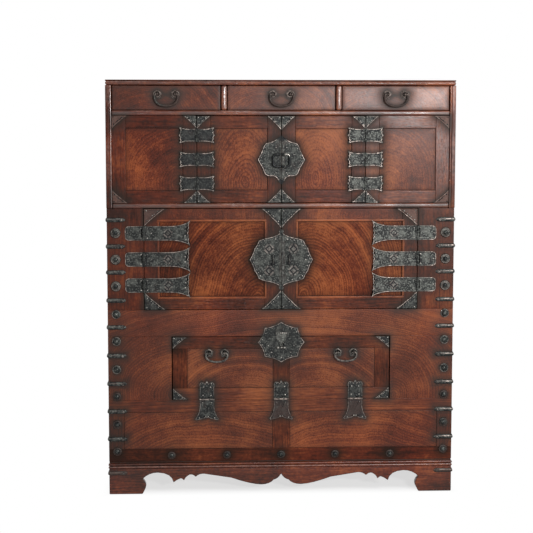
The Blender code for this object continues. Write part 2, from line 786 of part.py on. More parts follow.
# Drawers
def make_drawers():
    bail_z = Z_TOP - DRAWER_BAIL_BELOW_TOP
    for name, index in (("left", -1), ("centre", 0), ("right", 1)):
        middle = index * BAY_PITCH
        half = BAY / 2 - DRAWER_GAP
        z0 = Z_DRAWER + RUNNER_GAP
        z1 = Z_TOP - DRAWER_GAP
        front = block((middle - half, FACE_Y, z0), (middle + half, FACE_Y + DRAWER_FRONT_T, z1))
        box_half = half - DRAWER_SIDE_STEP
        box_top = z1 - DRAWER_TOP_STEP
        box_front = FACE_Y + DRAWER_FRONT_T
        box_back = BACK_Y - BACK_T - DRAWER_BACK_ROOM
        box = block((middle - box_half, box_front - GAP, z0), (middle + box_half, box_back, box_top))
        hollow_half = box_half - DRAWER_SIDE_T
        hollow = block((middle - hollow_half, box_front, z0 + DRAWER_FLOOR_T),
                       (middle + hollow_half, box_back - DRAWER_SIDE_T, z1 + DRAWER_H))
        solid = cut(join(front, box), hollow)
        solid = with_eyes(solid, middle, bail_z, DRAWER_BAIL_SPACING)
        slide = pivot(f"drawer_{name}_slide", (middle, FACE_Y, z0))
        piece(f"drawer_{name}", solid, WOOD, slide)
        make_bail(f"drawer_bail_{name}", middle, bail_z,
                  (DRAWER_BAIL_SPACING, DRAWER_BAIL_WIDTH, DRAWER_BAIL_DROP), slide)


make_base()
make_case()
make_rail()
make_lower_front()
make_upper_front()
make_middle_doors()
make_drop_front()
make_drawers()
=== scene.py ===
"""A tall bandaji chest of reddish brown wood with dark iron fittings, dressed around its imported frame."""

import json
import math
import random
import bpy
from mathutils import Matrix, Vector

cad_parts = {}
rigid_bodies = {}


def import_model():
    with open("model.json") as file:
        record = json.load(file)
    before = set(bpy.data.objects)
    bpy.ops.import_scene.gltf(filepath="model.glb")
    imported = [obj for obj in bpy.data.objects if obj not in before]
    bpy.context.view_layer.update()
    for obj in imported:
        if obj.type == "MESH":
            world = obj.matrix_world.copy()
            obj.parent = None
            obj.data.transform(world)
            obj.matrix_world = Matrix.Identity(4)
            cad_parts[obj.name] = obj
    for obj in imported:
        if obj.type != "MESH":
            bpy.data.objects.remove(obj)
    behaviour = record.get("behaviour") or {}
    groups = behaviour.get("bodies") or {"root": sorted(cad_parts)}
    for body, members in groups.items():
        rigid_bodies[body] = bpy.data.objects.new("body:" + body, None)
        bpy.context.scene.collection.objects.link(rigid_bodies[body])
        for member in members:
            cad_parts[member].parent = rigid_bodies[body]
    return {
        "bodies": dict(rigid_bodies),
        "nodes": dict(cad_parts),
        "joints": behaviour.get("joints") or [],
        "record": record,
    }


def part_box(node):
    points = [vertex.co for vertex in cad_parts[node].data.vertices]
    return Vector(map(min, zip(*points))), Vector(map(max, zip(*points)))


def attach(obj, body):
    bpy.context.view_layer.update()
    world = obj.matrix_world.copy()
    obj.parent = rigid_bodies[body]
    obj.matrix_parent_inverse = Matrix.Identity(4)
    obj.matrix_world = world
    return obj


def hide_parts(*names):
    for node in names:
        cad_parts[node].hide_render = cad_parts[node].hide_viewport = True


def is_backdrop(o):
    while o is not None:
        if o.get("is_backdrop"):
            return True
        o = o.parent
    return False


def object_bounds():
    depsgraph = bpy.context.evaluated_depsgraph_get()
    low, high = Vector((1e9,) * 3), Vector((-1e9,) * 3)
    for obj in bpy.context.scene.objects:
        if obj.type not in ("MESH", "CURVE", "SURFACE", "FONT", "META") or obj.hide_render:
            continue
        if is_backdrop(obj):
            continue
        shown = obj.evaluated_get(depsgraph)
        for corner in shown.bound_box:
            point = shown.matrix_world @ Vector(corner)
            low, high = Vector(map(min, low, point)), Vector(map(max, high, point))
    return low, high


bl_info = {
    "name": "Bandaji Chest",
    "version": (1, 0, 0),
    "blender": (4, 5, 0),
    "location": "View3D > Sidebar > Chest",
    "description": "Dresses the frame of a bandaji chest with joinery, iron fittings and finishes",
    "category": "Add Mesh",
}

import bmesh
import bpy
import numpy as np
from bpy.props import FloatProperty, FloatVectorProperty, PointerProperty
from bpy.types import Operator, Panel, PropertyGroup
from mathutils import Vector

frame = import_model()
CAD_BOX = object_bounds()

# Planes and edges of the frame
SIDES = (("left", -1), ("right", 1))
BAYS = ("left", "centre", "right")
PIVOTS = {joint["name"]: joint["pos_m"]
          for joint in frame["record"]["behaviour"]["joints"] if "pos_m" in joint}
FACE_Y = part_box("wing_left")[0].y
NOSE_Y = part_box("top_board")[0].y
BACK_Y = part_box("top_board")[1].y
INSIDE_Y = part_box("lower_shelf")[0].y
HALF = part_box("top_board")[1].x
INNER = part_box("side_right")[0].x
Z_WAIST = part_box("waist_board")[0].z
Z_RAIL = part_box("lower_top_rail")[0].z
DOOR_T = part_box("wing_left")[1].y - FACE_Y
LEAF_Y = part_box("upper_hinge_fixed_left_1")[1].y
GAP = 0.0003
SEAM = 0.0006

# Joinery that the fronts show
BACK_SINK = 0.006
TOP_CAP = 0.0042
TOP_STEP = 0.0022
POST_W = 0.0135
BEAD_W = 0.0062
UPPER_FRAME = (0.047, 0.043)
MIDDLE_STILES = (0.053, 0.058)
MIDDLE_RAIL = 0.045
# Outer stile, centre stile, bottom rail and top rail of the fronts with two panels
DROP_FRAME = (0.0505, 0.056, 0.041, 0.041)
LOWER_FRAME = (0.053, 0.060, 0.044, 0.042)
PANEL_SINK = 0.003
SIDE_GAP = 0.0016
FOOT_GAP = 0.0012
DEEP_SINK = 0.005
PANEL_TONGUE = 0.004
PANEL_GROOVE = 0.0016
BACK_BOARDS = (0.0, 0.19, 0.42, 0.60, 0.82, 1.0)
NAIL_IN = 0.022
NAIL_SUNK = 0.0008
POST_SINK = 0.002
SOFT_EDGE = 0.0006
STAND_EDGE = 0.0014

# Wear, grime, painted shade and painted highlights of the wood
# How far the painted shade at a board's rim reaches
RIM_REACH = 0.007
# Painted highlights on edges, with some wear: how squarely an edge must face the given way, and the ways
# used
PALE_EDGE_FROM = 0.72
AHEAD = (0.0, -1.0, 0.0)
UP_FRONT = (0.0, -1.0, 1.0)
FRONT_DEPTH = 0.008
HALO_DEPTH = 1.3
HALO_REACH = 0.019
HALO_FALL = 1.2
HALO_SPAN = 0.060
# How far the painted shade along the outer edges of the fronts reaches
OUTER_SHADE_REACH = 0.0008
UPPER_HALO = 0.5
LOWER_HALO = 0.9

# Iron on the case
STRAP_LEVELS = (0.975, 0.882, 0.791, 0.692, 0.597, 0.496, 0.396, 0.297, 0.198)
BASE_STRAP_LEVEL = 0.076
STUD_LEVELS = (0.929, 0.836, 0.742, 0.643, 0.548, 0.447, 0.351, 0.251, 0.154)
LARGE_STUDS = 3
STUD_X = 0.580
RAIL_STUD_Z = 0.1385
RAIL_STUD_X = (-0.3885, -0.1925, 0.0, 0.1925, 0.3885)
UPPER_LOCK_Z = 1.183
MIDDLE_LOCK_Z = 0.834
LOWER_LOCK_Z = 0.5415

# Plates, hinges and the hasp
FIELD_SHARE = 0.7
SEAT_SHARE = 0.6
SEAM_REACH = 0.006
LEAF_START = 0.0036
KNUCKLE_CLEAR = 0.0005
TAIL_SHARE = 1.05
HASP_SHARE = 0.89
BARREL_R = 0.0047

# Limits of the mesh work
SOLID_WELD = 1e-5
WELD = 1e-6
NEAR = 1e-9
TINY = 1e-12
FLAT = math.radians(1)
STEEP = math.radians(50)
SHARP = math.radians(40)
MITRE_LIMIT = 0.55
SIDEWAYS = 0.7
ROOM_SHARE = 0.42

# What one operator leaves for the next
RIVETS = {}
HALOS = []
WOOD_PIECES = []
FINISH = {}


# Settings
def colour(name, description, default):
    return FloatVectorProperty(name=name, description=description, default=default,
                               subtype="COLOR", size=3, min=0.0, max=1.0)


def length(name, description, default):
    return FloatProperty(name=name, description=description, default=default,
                         subtype="DISTANCE", unit="LENGTH", min=0.0)


def share(name, description, default):
    return FloatProperty(name=name, description=description, default=default,
                         subtype="FACTOR", min=0.0, max=1.0)


def half_sizes(name, default):
    return FloatVectorProperty(name=name, description="Half width and half height", default=default,
                               subtype="XYZ", unit="LENGTH", size=2)


def rotation(name, description, degrees):
    return FloatProperty(name=name, description=description, default=math.radians(degrees),
                         subtype="ANGLE", unit="ROTATION")


def power(name, description, default):
    return FloatProperty(name=name, description=description, default=default,
                         subtype="POWER", unit="POWER")


class ChestWood(PropertyGroup):
    """Colours and figure of the wood."""

    dark: colour("Dark", "Late rings and pores", (0.027, 0.0082, 0.0048))
    middle: colour("Middle", "The body of the wood", (0.096, 0.0229, 0.0102))
    light: colour("Light", "Early rings where the lacquer is thin", (0.264, 0.0780, 0.0262))
    frame_shade: share("Frame shade", "How much darker rails and stiles are than panels", 0.34)
    # The grime colour and amount also paint the shade at rims, in grooves and along the outer edges
    grime_colour: colour("Grime", "Old wax and soot around the iron", (0.016, 0.010, 0.007))
    grime: share("Grime amount", "How dark the wood is beside the iron", 0.80)
    # This colour also paints the highlights on the edges that face the light
    rubbed: colour("Rubbed", "Edges where the lacquer is worn pale", (0.300, 0.195, 0.165))
    inside: colour("Inside", "Bare wood inside the case and the drawers", (0.235, 0.115, 0.052))
    ring: length("Ring width", "Width of one year's ring", 0.0085)
    wander: length("Wander", "How far the rings stray", 0.026)
    roughness: share("Roughness", "Roughness of the lacquer", 0.22)
    edge: length("Edge", "Rounding of a board's edge", 0.0011)
    nose: length("Nose", "Rounding of the boards that stand proud", 0.0060)
    cell: length("Cell", "Grid on a board that carries its grime", 0.0095)


class ChestIron(PropertyGroup):
    """Colours and sizes of the iron fittings."""

    dark: colour("Dark", "Black scale on the iron", (0.0070, 0.0080, 0.0078))
    pale: colour("Pale", "Grey bloom on the iron", (0.122, 0.127, 0.114))
    # Also the colour of the painted highlights on the iron
    worn: colour("Worn", "Rubbed edges", (0.268, 0.220, 0.194))
    bright: colour("Bright", "Polished nail heads", (0.360, 0.335, 0.305))
    rust: colour("Rust", "Brown tarnish", (0.046, 0.023, 0.017))
    russet: colour("Russet", "Brown lacquer on the outer corner plates", (0.098, 0.043, 0.030))
    recess: colour("Recess", "Black of the hollows", (0.006, 0.0065, 0.0075))
    roughness: share("Roughness", "Roughness of the scale", 0.43)
    # Painted sheen: extra bloom that makes the iron on the right paler
    haze: share("Haze", "How much more bloom the iron on the right has", 0.70)
    plate: length("Plate", "Thickness of the plates", 0.0022)
    border: length("Border", "Width of a plate's raised border", 0.0021)
    rivet: length("Rivet", "Radius of a rivet head", 0.0026)
    knuckle: length("Knuckle", "Radius of a hinge knuckle", 0.0031)
    bail: length("Bail", "Radius of a bail's wire", 0.0042)


class ChestTrim(PropertyGroup):
    """Sizes of the plates, straps and studs."""

    upper_lock: half_sizes("Upper lock plate", (0.0825, 0.085))
    middle_lock: half_sizes("Middle lock plate", (0.111, 0.093))
    lower_lock: half_sizes("Lower lock plate", (0.0825, 0.072))
    strap_length: length("Corner strap", "Length of a corner strap on the front", 0.065)
    strap_width: length("Strap width", "Height of a corner strap", 0.0205)
    strap_proud: length("Strap ridge", "How far a strap's ridge stands out", 0.0034)
    large_stud: length("Large stud", "Radius of a washer in the top rank", 0.0185)
    small_stud: length("Small stud", "Radius of a washer in the ranks below", 0.0160)
    rosette: length("Rosette", "Radius of the leaves behind a bail's eye", 0.0155)


class ChestStage(PropertyGroup):
    """Camera, lamps and floor."""

    eye: FloatVectorProperty(name="Camera", description="Where the camera stands", size=3,
                             default=(-0.2379, -4.7308, 1.2172), subtype="TRANSLATION", unit="LENGTH")
    pitch: rotation("Pitch", "How far the camera looks down", 5.164)
    yaw: rotation("Yaw", "How far the camera looks to the right", 2.365)
    lens: FloatProperty(name="Lens", description="Focal length in millimetres", default=86.9, min=1.0)
    key: power("Key lamp", "Power of the soft lamp at the right", 34.0)
    gloss: power("Gloss lamp", "Power of the lamp that shines in the lacquer", 140.0)
    fill: power("Fill lamp", "Power of the soft lamp behind the chest", 34.0)
    sky: share("Sky", "Strength of the even light", 0.25)
    floor: colour("Floor", "Colour of the floor", (0.82, 0.82, 0.82))
    floor_glow: share("Floor glow", "Share of the floor that shade does not darken", 0.66)


# Node trees, and the places of the sockets that they use
VECTOR, FACTOR = 1, 2
OBJECT_PLACE = 3
NOISE_COLOUR = 1
MIX_AMOUNT, MIX_LOW, MIX_HIGH, MIX_COLOUR = 0, 6, 7, 2


class Signal:
    """A socket of a node tree. Arithmetic on it adds Math nodes."""

    def __init__(self, tree, socket=None):
        self.tree = tree
        self.socket = socket

    def node(self, kind, inputs=None, output=0, **settings):
        """Add a node: its settings first, then the values or links of its sockets."""
        made = self.tree.nodes.new(kind)
        for name, value in settings.items():
            setattr(made, name, value)
        for name, value in (inputs or {}).items():
            if isinstance(value, Signal):
                self.tree.links.new(value.socket, made.inputs[name])
            else:
                made.inputs[name].default_value = value
        return Signal(self.tree, made.outputs[output] if made.outputs else None)

    def math(self, operation, *others):
        return self.node("ShaderNodeMath", dict(enumerate((self, *others))), operation=operation)

    def __add__(self, other):
        return self.math("ADD", other)

    def __sub__(self, other):
        return self.math("SUBTRACT", other)

    def __mul__(self, other):
        return self.math("MULTIPLY", other)

    def __truediv__(self, other):
        return self.math("DIVIDE", other)

    def __rsub__(self, other):
        return self.node("ShaderNodeMath", {0: other, 1: self}, operation="SUBTRACT")

    __radd__ = __add__
    __rmul__ = __mul__

    def ease(self, low, high):
        """0 below low, 1 above high and smooth between them."""
        return self.node("ShaderNodeMapRange", {"Value": self, "From Min": low, "From Max": high},
                         interpolation_type="SMOOTHSTEP")

    def vector(self, operation, other):
        return self.node("ShaderNodeVectorMath", {0: self, 1: other}, operation=operation)

    def stretched(self, factors):
        return self.vector("MULTIPLY", factors)

    def parts(self):
        """Its x, y and z."""
        outputs = self.node("ShaderNodeSeparateXYZ", {0: self}).socket.node.outputs
        return [Signal(self.tree, output) for output in outputs]

    def noise(self, scale, detail=2.0, output=0):
        return self.node("ShaderNodeTexNoise", {"Vector": self, "Scale": scale, "Detail": detail}, output)

    def mixed(self, low, high):
        """A colour between two, by this value."""
        return self.node("ShaderNodeMix", {MIX_AMOUNT: self, MIX_LOW: low, MIX_HIGH: high},
                         MIX_COLOUR, data_type="RGBA")

    def ramp(self, *stops):
        """A colour by this value, from stops that each have a place and a colour."""
        made = self.node("ShaderNodeValToRGB", {0: self})
        elements = made.socket.node.color_ramp.elements
        while len(elements) < len(stops):
            elements.new(1.0)
        for element, (place, tint) in zip(elements, stops):
            element.position = place
            element.color = solid(tint)
        return made


def solid(tint):
    return (*tint, 1.0)


def new_material(name):
    """A material with its Principled shader and a signal to start from."""
    material = bpy.data.materials.new(name)
    material.use_nodes = True
    shader = material.node_tree.nodes["Principled BSDF"]
    return material, shader, Signal(material.node_tree)


def attribute(start, name, output):
    return start.node("ShaderNodeAttribute", None, output, attribute_name=name)


def feed(shader, **signals):
    """Link signals to the shader's sockets."""
    sockets = {"base": "Base Color", "roughness": "Roughness", "metallic": "Metallic", "normal": "Normal"}
    for name, signal in signals.items():
        signal.tree.links.new(signal.socket, shader.inputs[sockets[name]])


def bumped(height, strength, distance):
    return height.node("ShaderNodeBump", {"Height": height, "Strength": strength, "Distance": distance})


# Finishes
def ring_figure(log, wood):
    """Bands of early and late wood around the heart of the log, stronger in some years than others."""
    stray = log.stretched((1.3, 5.0, 5.0)).noise(1.0, 2.0, NOISE_COLOUR)
    stray = stray.vector("SUBTRACT", (0.5, 0.5, 0.5)).stretched((0.0, 2.0 * wood.wander, 2.0 * wood.wander))
    _, across, depth = log.vector("ADD", stray).parts()
    radius = (across * across + depth * depth).math("SQRT")
    rings = radius / wood.ring + log.stretched((6.0, 40.0, 40.0)).noise(1.0, 2.0) * 0.6
    year = rings.math("FRACT")
    late = year.ease(0.35, 0.85) * (1.0 - year.ease(0.88, 1.0))
    band, strength = (rings.node("ShaderNodeTexNoise",
                                 {"W": rings * pace + pace, "Scale": 1.0, "Detail": 2.0},
                                 noise_dimensions="1D") for pace in (0.45, 0.23))
    return ((band - 0.5) * 2.0 - late * 0.66 + 0.22) * (0.40 + 0.60 * strength.ease(0.30, 0.75))


def wood_material(name, wood, shade, figure, polish=0.0, shine=0.12, spots=0.75):
    """Lacquered wood that follows each board's place in its log, darkened by grime and painted shade, and
    paled by wear and painted highlights.
    """
    material, shader, start = new_material(name)
    log = attribute(start, "log", VECTOR)
    grime = attribute(start, "grime", FACTOR)
    place = start.node("ShaderNodeTexCoord", output=OBJECT_PLACE)
    late = ring_figure(log, wood)
    fibre = log.stretched((26.0, 300.0, 300.0)).noise(1.0, 3.0)
    pores = log.stretched((55.0, 1500.0, 1500.0)).noise(1.0, 1.0).ease(0.60, 0.72)
    cloud = place.noise(5.5, 3.0)
    fleck = place.noise(95.0, 3.0)
    mottle = place.stretched((1.0, 1.0, 1.5)).noise(21.0, 2.0)
    tone = (0.50 - shade + (cloud - 0.5) * 1.35 + ((mottle - 0.5) * 0.60 + (fleck - 0.5) * 0.85) * spots
            + (fibre - 0.5) * 0.80 + late * figure - pores * 0.10)
    tint = tone.ramp((0.02, wood.dark), (0.42, wood.middle), (0.92, wood.light))
    red = place.noise(3.1, 1.0).ease(0.40, 0.75) * 0.35
    tint = red.mixed(tint, red.node("ShaderNodeHueSaturation",
                                    {"Hue": 0.484, "Saturation": 1.06, "Value": 0.94, "Color": tint}))
    # Above zero the attribute is grime and painted shade, below zero wear and painted highlight
    darkened = grime.math("MAXIMUM", 0.0)
    soot_and_shade = (darkened * (0.62 + fleck * 0.76)) * wood.grime
    # Painted highlight and wear: pale edges where the attribute is below zero
    paled = (grime * -1.0).math("MAXIMUM", 0.0) * (0.45 + 0.55 * fleck.ease(0.38, 0.60))
    feed(shader,
         base=paled.mixed(soot_and_shade.mixed(tint, solid(wood.grime_colour)), solid(wood.rubbed)),
         roughness=wood.roughness - polish + fibre * 0.12 + pores * 0.12 + darkened * 0.20,
         normal=bumped(fibre * 0.45 - late * 0.25 - pores * 0.6 + fleck * 0.4, 0.32, 0.0005))
    shader.inputs["Specular IOR Level"].default_value = shine
    return material


def bare_wood_material(name, wood):
    """Bare sawn wood inside the case and behind it, with its own tone in each board."""
    material, shader, start = new_material(name)
    log = attribute(start, "log", VECTOR)
    darkened = attribute(start, "grime", FACTOR).math("MAXIMUM", 0.0)
    streak = log.stretched((2.2, 60.0, 60.0)).noise(1.0, 4.0)
    fibre = log.stretched((20.0, 400.0, 400.0)).noise(1.0, 3.0)
    cloud = log.stretched((4.0, 9.0, 9.0)).noise(1.0, 2.0)
    board = log.stretched((0.8, 0.0, 0.0)).noise(1.0, 0.0)
    tone = (streak * 0.6 + fibre * 0.3 + cloud * 0.5 + board * 0.7 + ring_figure(log, wood) * 0.16 - 0.55)
    shadow = tuple(value * 0.42 for value in wood.inside)
    tint = tone.ramp((0.22, shadow), (0.72, wood.inside))
    # Grime and painted shade at the rims of the back's boards
    feed(shader,
         base=(darkened * (0.5 + fibre * 0.5)).mixed(tint, solid(wood.grime_colour)),
         roughness=0.66 + fibre * 0.16,
         normal=bumped(fibre * 0.6 + streak * 0.5, 0.35, 0.0005))
    shader.inputs["Specular IOR Level"].default_value = 0.25
    return material


def iron_material(name, iron, worn, rust_share, polish=0.0, rust=None, haze=0.0):
    """Forged iron: black scale with a grey bloom, brown tarnish, rubbed edges with painted highlights, and
    black recesses; painted sheen adds bloom on the right.
    """
    material, shader, start = new_material(name)
    wear = attribute(start, "wear", FACTOR)
    place = start.node("ShaderNodeTexCoord", output=OBJECT_PLACE)
    bloom = place.noise(48.0, 4.0)
    speck = place.noise(185.0, 2.0)
    dents = place.noise(120.0, 2.0)
    scale = bloom.ease(0.42, 0.70) * 0.40 + speck.ease(0.50, 0.66) * 0.60
    tint = (scale * (1.0 + haze)).math("MINIMUM", 1.0).mixed(solid(iron.dark), solid(iron.pale))
    tarnish = (place.noise(19.0, 3.0) + (rust_share - 0.5)).ease(0.50, 0.78)
    tarnish = tarnish * (0.45 + 0.40 * speck.ease(0.35, 0.6))
    tint = tarnish.mixed(tint, solid(rust or iron.rust))
    handled = place.noise(34.0, 2.0).ease(0.36, 0.62)
    # Rubbed edges, and painted highlights where the attribute is raised for them
    rubbed = wear.math("MAXIMUM", 0.0) * (0.18 + 0.82 * dents.ease(0.38, 0.59)) * (0.62 + 0.38 * handled)
    recess = (wear * -1.0).math("MAXIMUM", 0.0)
    tint = recess.mixed(rubbed.mixed(tint, solid(worn)), solid(iron.recess))
    feed(shader,
         base=tint,
         roughness=iron.roughness - polish + bloom * 0.20 - rubbed * 0.14,
         metallic=0.45 + rubbed * 0.40 - tarnish * 0.35,
         normal=bumped(dents * 0.8 + speck * 0.35 + bloom * 0.5, 0.45, 0.0011))
    shader.inputs["Specular IOR Level"].default_value = 0.25
    return material


def make_finishes():
    """Materials of the wood and the iron."""
    wood, iron = bpy.context.scene.chest_wood, bpy.context.scene.chest_iron
    shade = wood.frame_shade
    # Shade, strength of the figure, polish, shine and spots of each wood
    # Painted light and shade: the panel of the right upper door and the frame of the right wing are painted
    # lighter, and the left drawer and the shaded wood at the bottom and left are painted darker
    woods = {
        "panel": (-0.02, 0.40),
        "frame": (0.5 * shade, 0.24),
        "shaded": (0.88 * shade, 0.20, -0.30, 0.08),
        "bead": (0.1 * shade, 0.12, 0.05, 0.50),
        "calm": (0.01, 0.34, 0.0, 0.18, 0.40),
        "drawer": (0.10, 0.36, 0.0, 0.26),
        "dim": (0.17, 0.36, 0.0, 0.22),
        "lip": (-0.26, 0.10, 0.0, 0.16),
        "base": (0.46 * shade, 0.24, 0.0, 0.28),
        "warm": (-0.17, 0.34, 0.0, 0.10),
        "wing": (0.01, 0.28),
        "door": (-0.06, 0.46, 0.0, 0.05),
        "sheen": (0.02, 0.24, 0.0, 0.18),
    }
    for key, values in woods.items():
        FINISH[key] = wood_material(f"{key}_wood", wood, *values)
    FINISH["bare"] = bare_wood_material("bare_wood", wood)
    # Name, colour of rubbed edges and painted highlights, share of rust, polish, colour of the rust and
    # painted sheen of each iron
    irons = {
        "iron": ("forged_iron", iron.worn, 0.42),
        "hazy": ("hazy_iron", iron.worn, 0.36, 0.0, None, iron.haze),
        "brown": ("brown_iron", iron.worn, 0.76),
        "russet": ("russet_iron", iron.worn, 0.95, 0.0, iron.russet),
        "nails": ("nail_iron", iron.bright, 0.36),
        "domes": ("dome_iron", iron.bright, 0.30, 0.20),
    }
    for key, (name, *values) in irons.items():
        FINISH[key] = iron_material(name, iron, *values)


# Wood
WOOD_FINISHES = ("panel", "frame", "bare", "bead", "shaded", "calm", "drawer", "lip", "base", "warm",
                 "wing", "door", "dim", "sheen")
(PANEL, FRAME, BARE, BEAD, SHADED, CALM, DRAWER, LIP, BASE, LIT_PANEL,
 WING, DOOR, SHADED_DRAWER, SHEEN) = range(len(WOOD_FINISHES))


def spread(sign, near, far):
    """Two places on one side of the middle, from low to high."""
    return tuple(sorted((sign * near, sign * far)))


def straight(axis, low, high, seed):
    """Grain along one axis, in a board sawn beside the heart of its log."""
    draw = random.Random(seed)
    others = sorted((i for i in range(3) if i != axis), key=lambda i: high[i] - low[i])
    thin, wide = others
    start = draw.uniform(0.0, 5.0)
    aside = draw.uniform(-0.05, 0.05)
    deep = draw.uniform(0.015, 0.060)
    tilt = draw.uniform(-0.035, 0.035)

    def place(point):
        along = point[axis] - (low[axis] + high[axis]) / 2
        return Vector((along + start, point[wide] - (low[wide] + high[wide]) / 2 + aside,
                       point[thin] - low[thin] + deep + tilt * along))
    return place


def whorl(x, z, tall=1.0):
    """Rings around a knot that looks out of the board."""
    def place(point):
        return Vector((point.y * 2.0 + x * 3.0, point.x - x, (point.z - z) * tall))
    return place


class Timber:
    """Boards gathered into one piece that stands for a node, each with its place in its log."""

    def __init__(self, node, body="root", slot="red_wood"):
        self.node = node
        self.body = body
        self.slot = slot
        self.bm = bmesh.new()
        self.log = self.bm.verts.layers.float_vector.new("log")
        # Grime and painted shade above zero, wear and painted highlight below zero
        self.grime = self.bm.verts.layers.float.new("grime")
        self.wood = bpy.context.scene.chest_wood

    def lines(self, low, high, cell, radius):
        """Grid lines along one side of a board, closer in its rounded edges."""
        run = high - low - 2 * radius
        count = max(1, round(run / cell))
        inner = [low + radius + run * i / count for i in range(count + 1)]
        ease = 0.3 * radius
        return [low, low + ease, *inner, high - ease, high]

    def board(self, low, high, grain, finish=FRAME, radius=None, cell=None, rim_shade=0.0, worn=None, rub=0.8):
        """A board with rounded edges. Its grain is an axis, or a function that gives a place in the log.

        Painted shade darkens the rim of its widest face, and the edges that face one given way turn pale
        with painted highlight and wear.
        """
        low, high = Vector(low), Vector(high)
        radius = radius or self.wood.edge
        cell = cell or self.wood.cell
        thin = min(range(3), key=lambda i: high[i] - low[i])
        radius = min(radius, 0.45 * (high[thin] - low[thin]))
        grid = [self.lines(low[i], high[i], math.inf if i == thin else cell, radius) for i in range(3)]
        last = [len(line) - 1 for line in grid]
        place = straight(grain, low, high, str(tuple(low))) if isinstance(grain, int) else grain
        wide = [i for i in range(3) if i != thin]
        made = {}

        def corner(key):
            if key not in made:
                point = Vector(grid[i][key[i]] for i in range(3))
                core = Vector(min(max(point[i], low[i] + radius), high[i] - radius) for i in range(3))
                out = (point - core).normalized()
                vert = self.bm.verts.new(core + out * radius)
                vert[self.log] = place(vert.co)
                rim = min(min(point[i] - low[i], high[i] - point[i]) for i in wide)
                # Painted shade at the rim of the widest face
                vert[self.grime] = rim_shade * math.exp(-rim / RIM_REACH)
                # Painted highlight, with some wear, on the edges that face the given way
                if worn:
                    facing = out.dot(Vector(worn).normalized())
                    vert[self.grime] -= rub * max(0.0, (facing - PALE_EDGE_FROM) / (1.0 - PALE_EDGE_FROM))
                made[key] = vert
            return made[key]

        for axis in range(3):
            first, second = (i for i in range(3) if i != axis)
            for end in (0, last[axis]):
                for i in range(last[first]):
                    for j in range(last[second]):
                        keys = []
                        for di, dj in ((0, 0), (1, 0), (1, 1), (0, 1)):
                            key = [end, end, end]
                            key[first], key[second] = i + di, j + dj
                            keys.append(tuple(key))
                        face = self.bm.faces.new([corner(key) for key in keys])
                        face.material_index = finish

    def framed(self, low, high, stiles, rails, sink, figure,
               bead=0.0, top_grain=0, field=PANEL, frame=FRAME):
        """Two stiles, two rails and the panel they hold. The panel is sunk in front and behind."""
        left, right = low[0] + stiles[0], high[0] - stiles[1]
        bottom, top = low[2] + rails[0], high[2] - rails[1]
        front, back = low[1], high[1]
        self.board(low, (left, back, high[2]), 2, frame)
        self.board((right, front, low[2]), high, 2, frame)
        self.board((left + GAP, front, low[2]), (right - GAP, back, bottom), 0, frame)
        self.board((left + GAP, front, top), (right - GAP, back, high[2]), top_grain, frame)
        self.panel((left, front + sink, bottom), (right, back - BACK_SINK, top), figure, field)
        if bead:
            self.beads((left, front, bottom), (right, front + sink, top), bead)

    def panel(self, low, high, figure, field=PANEL):
        """A panel whose field stands in a narrow groove, with a tongue in the frame behind it."""
        low, high = Vector(low), Vector(high)
        tongue = Vector((PANEL_TONGUE, 0, PANEL_TONGUE))
        groove = Vector((PANEL_GROOVE, 0, PANEL_GROOVE))
        depth = Vector((0, PANEL_GROOVE, 0))
        # Painted shade at the rims of the panel's groove and field
        self.board(low - tongue + depth, high + tongue, figure, FRAME, cell=0.05, rim_shade=0.8)
        half_depth = Vector((0, 0.5 * (high.y - low.y), 0))
        self.board(low + groove, high - groove - half_depth, figure, field, rim_shade=0.45)

    def beads(self, low, high, width):
        """A raised bead on the frame around a sunk panel."""
        proud, radius = 0.0012, 0.28 * width
        front, back = low[1] - proud, high[1]
        for x0 in (low[0] - width, high[0]):
            self.board((x0, front, low[2]), (x0 + width, back, high[2]), 2, LIP, radius)
        for z0 in (low[2] - width, high[2]):
            self.board((low[0] - width, front, z0), (high[0] + width, back, z0 + width), 0, LIP, radius)

    def finish(self):
        """Close the boards into a piece."""
        bmesh.ops.recalc_face_normals(self.bm, faces=self.bm.faces)
        piece = new_wood(self.node, self.bm)
        even_faces(piece)
        WOOD_PIECES.append(piece)
        settle(piece, self.body, self.slot, self.node)


def new_piece(name, bm, materials):
    """An object at the origin from a finished bmesh."""
    mesh = bpy.data.meshes.new(name)
    bm.to_mesh(mesh)
    bm.free()
    mesh.shade_smooth()
    for material in materials:
        mesh.materials.append(material)
    piece = bpy.data.objects.new(name, mesh)
    bpy.context.scene.collection.objects.link(piece)
    return piece


def settle(piece, body, slot, *nodes):
    """Ride on a body and stand for nodes, which it hides. The slot is not used."""
    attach(piece, body)
    if nodes:
        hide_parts(*nodes)


def new_wood(node, bm):
    """An object named after its node, with every wood finish to choose from."""
    return new_piece(f"{node}_wood", bm, [FINISH[key] for key in WOOD_FINISHES])


def even_faces(piece):
    """Let the broad faces of a piece set the shading of its rounded edges."""
    normals = piece.modifiers.new("even_faces", "WEIGHTED_NORMAL")
    normals.keep_sharp = True


def one_board(node, low, high, grain, slot="red_wood", **look):
    """A piece of a single board."""
    timber = Timber(node, slot=slot)
    timber.board(low, high, grain, **look)
    timber.finish()


def upper_front(node, body, knot, **looks):
    """A framed panel of the upper level."""
    stile, rail = UPPER_FRAME
    timber = Timber(node, body)
    timber.framed(*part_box(node), (stile, stile), (rail, rail), PANEL_SINK, whorl(*knot), **looks)
    timber.finish()


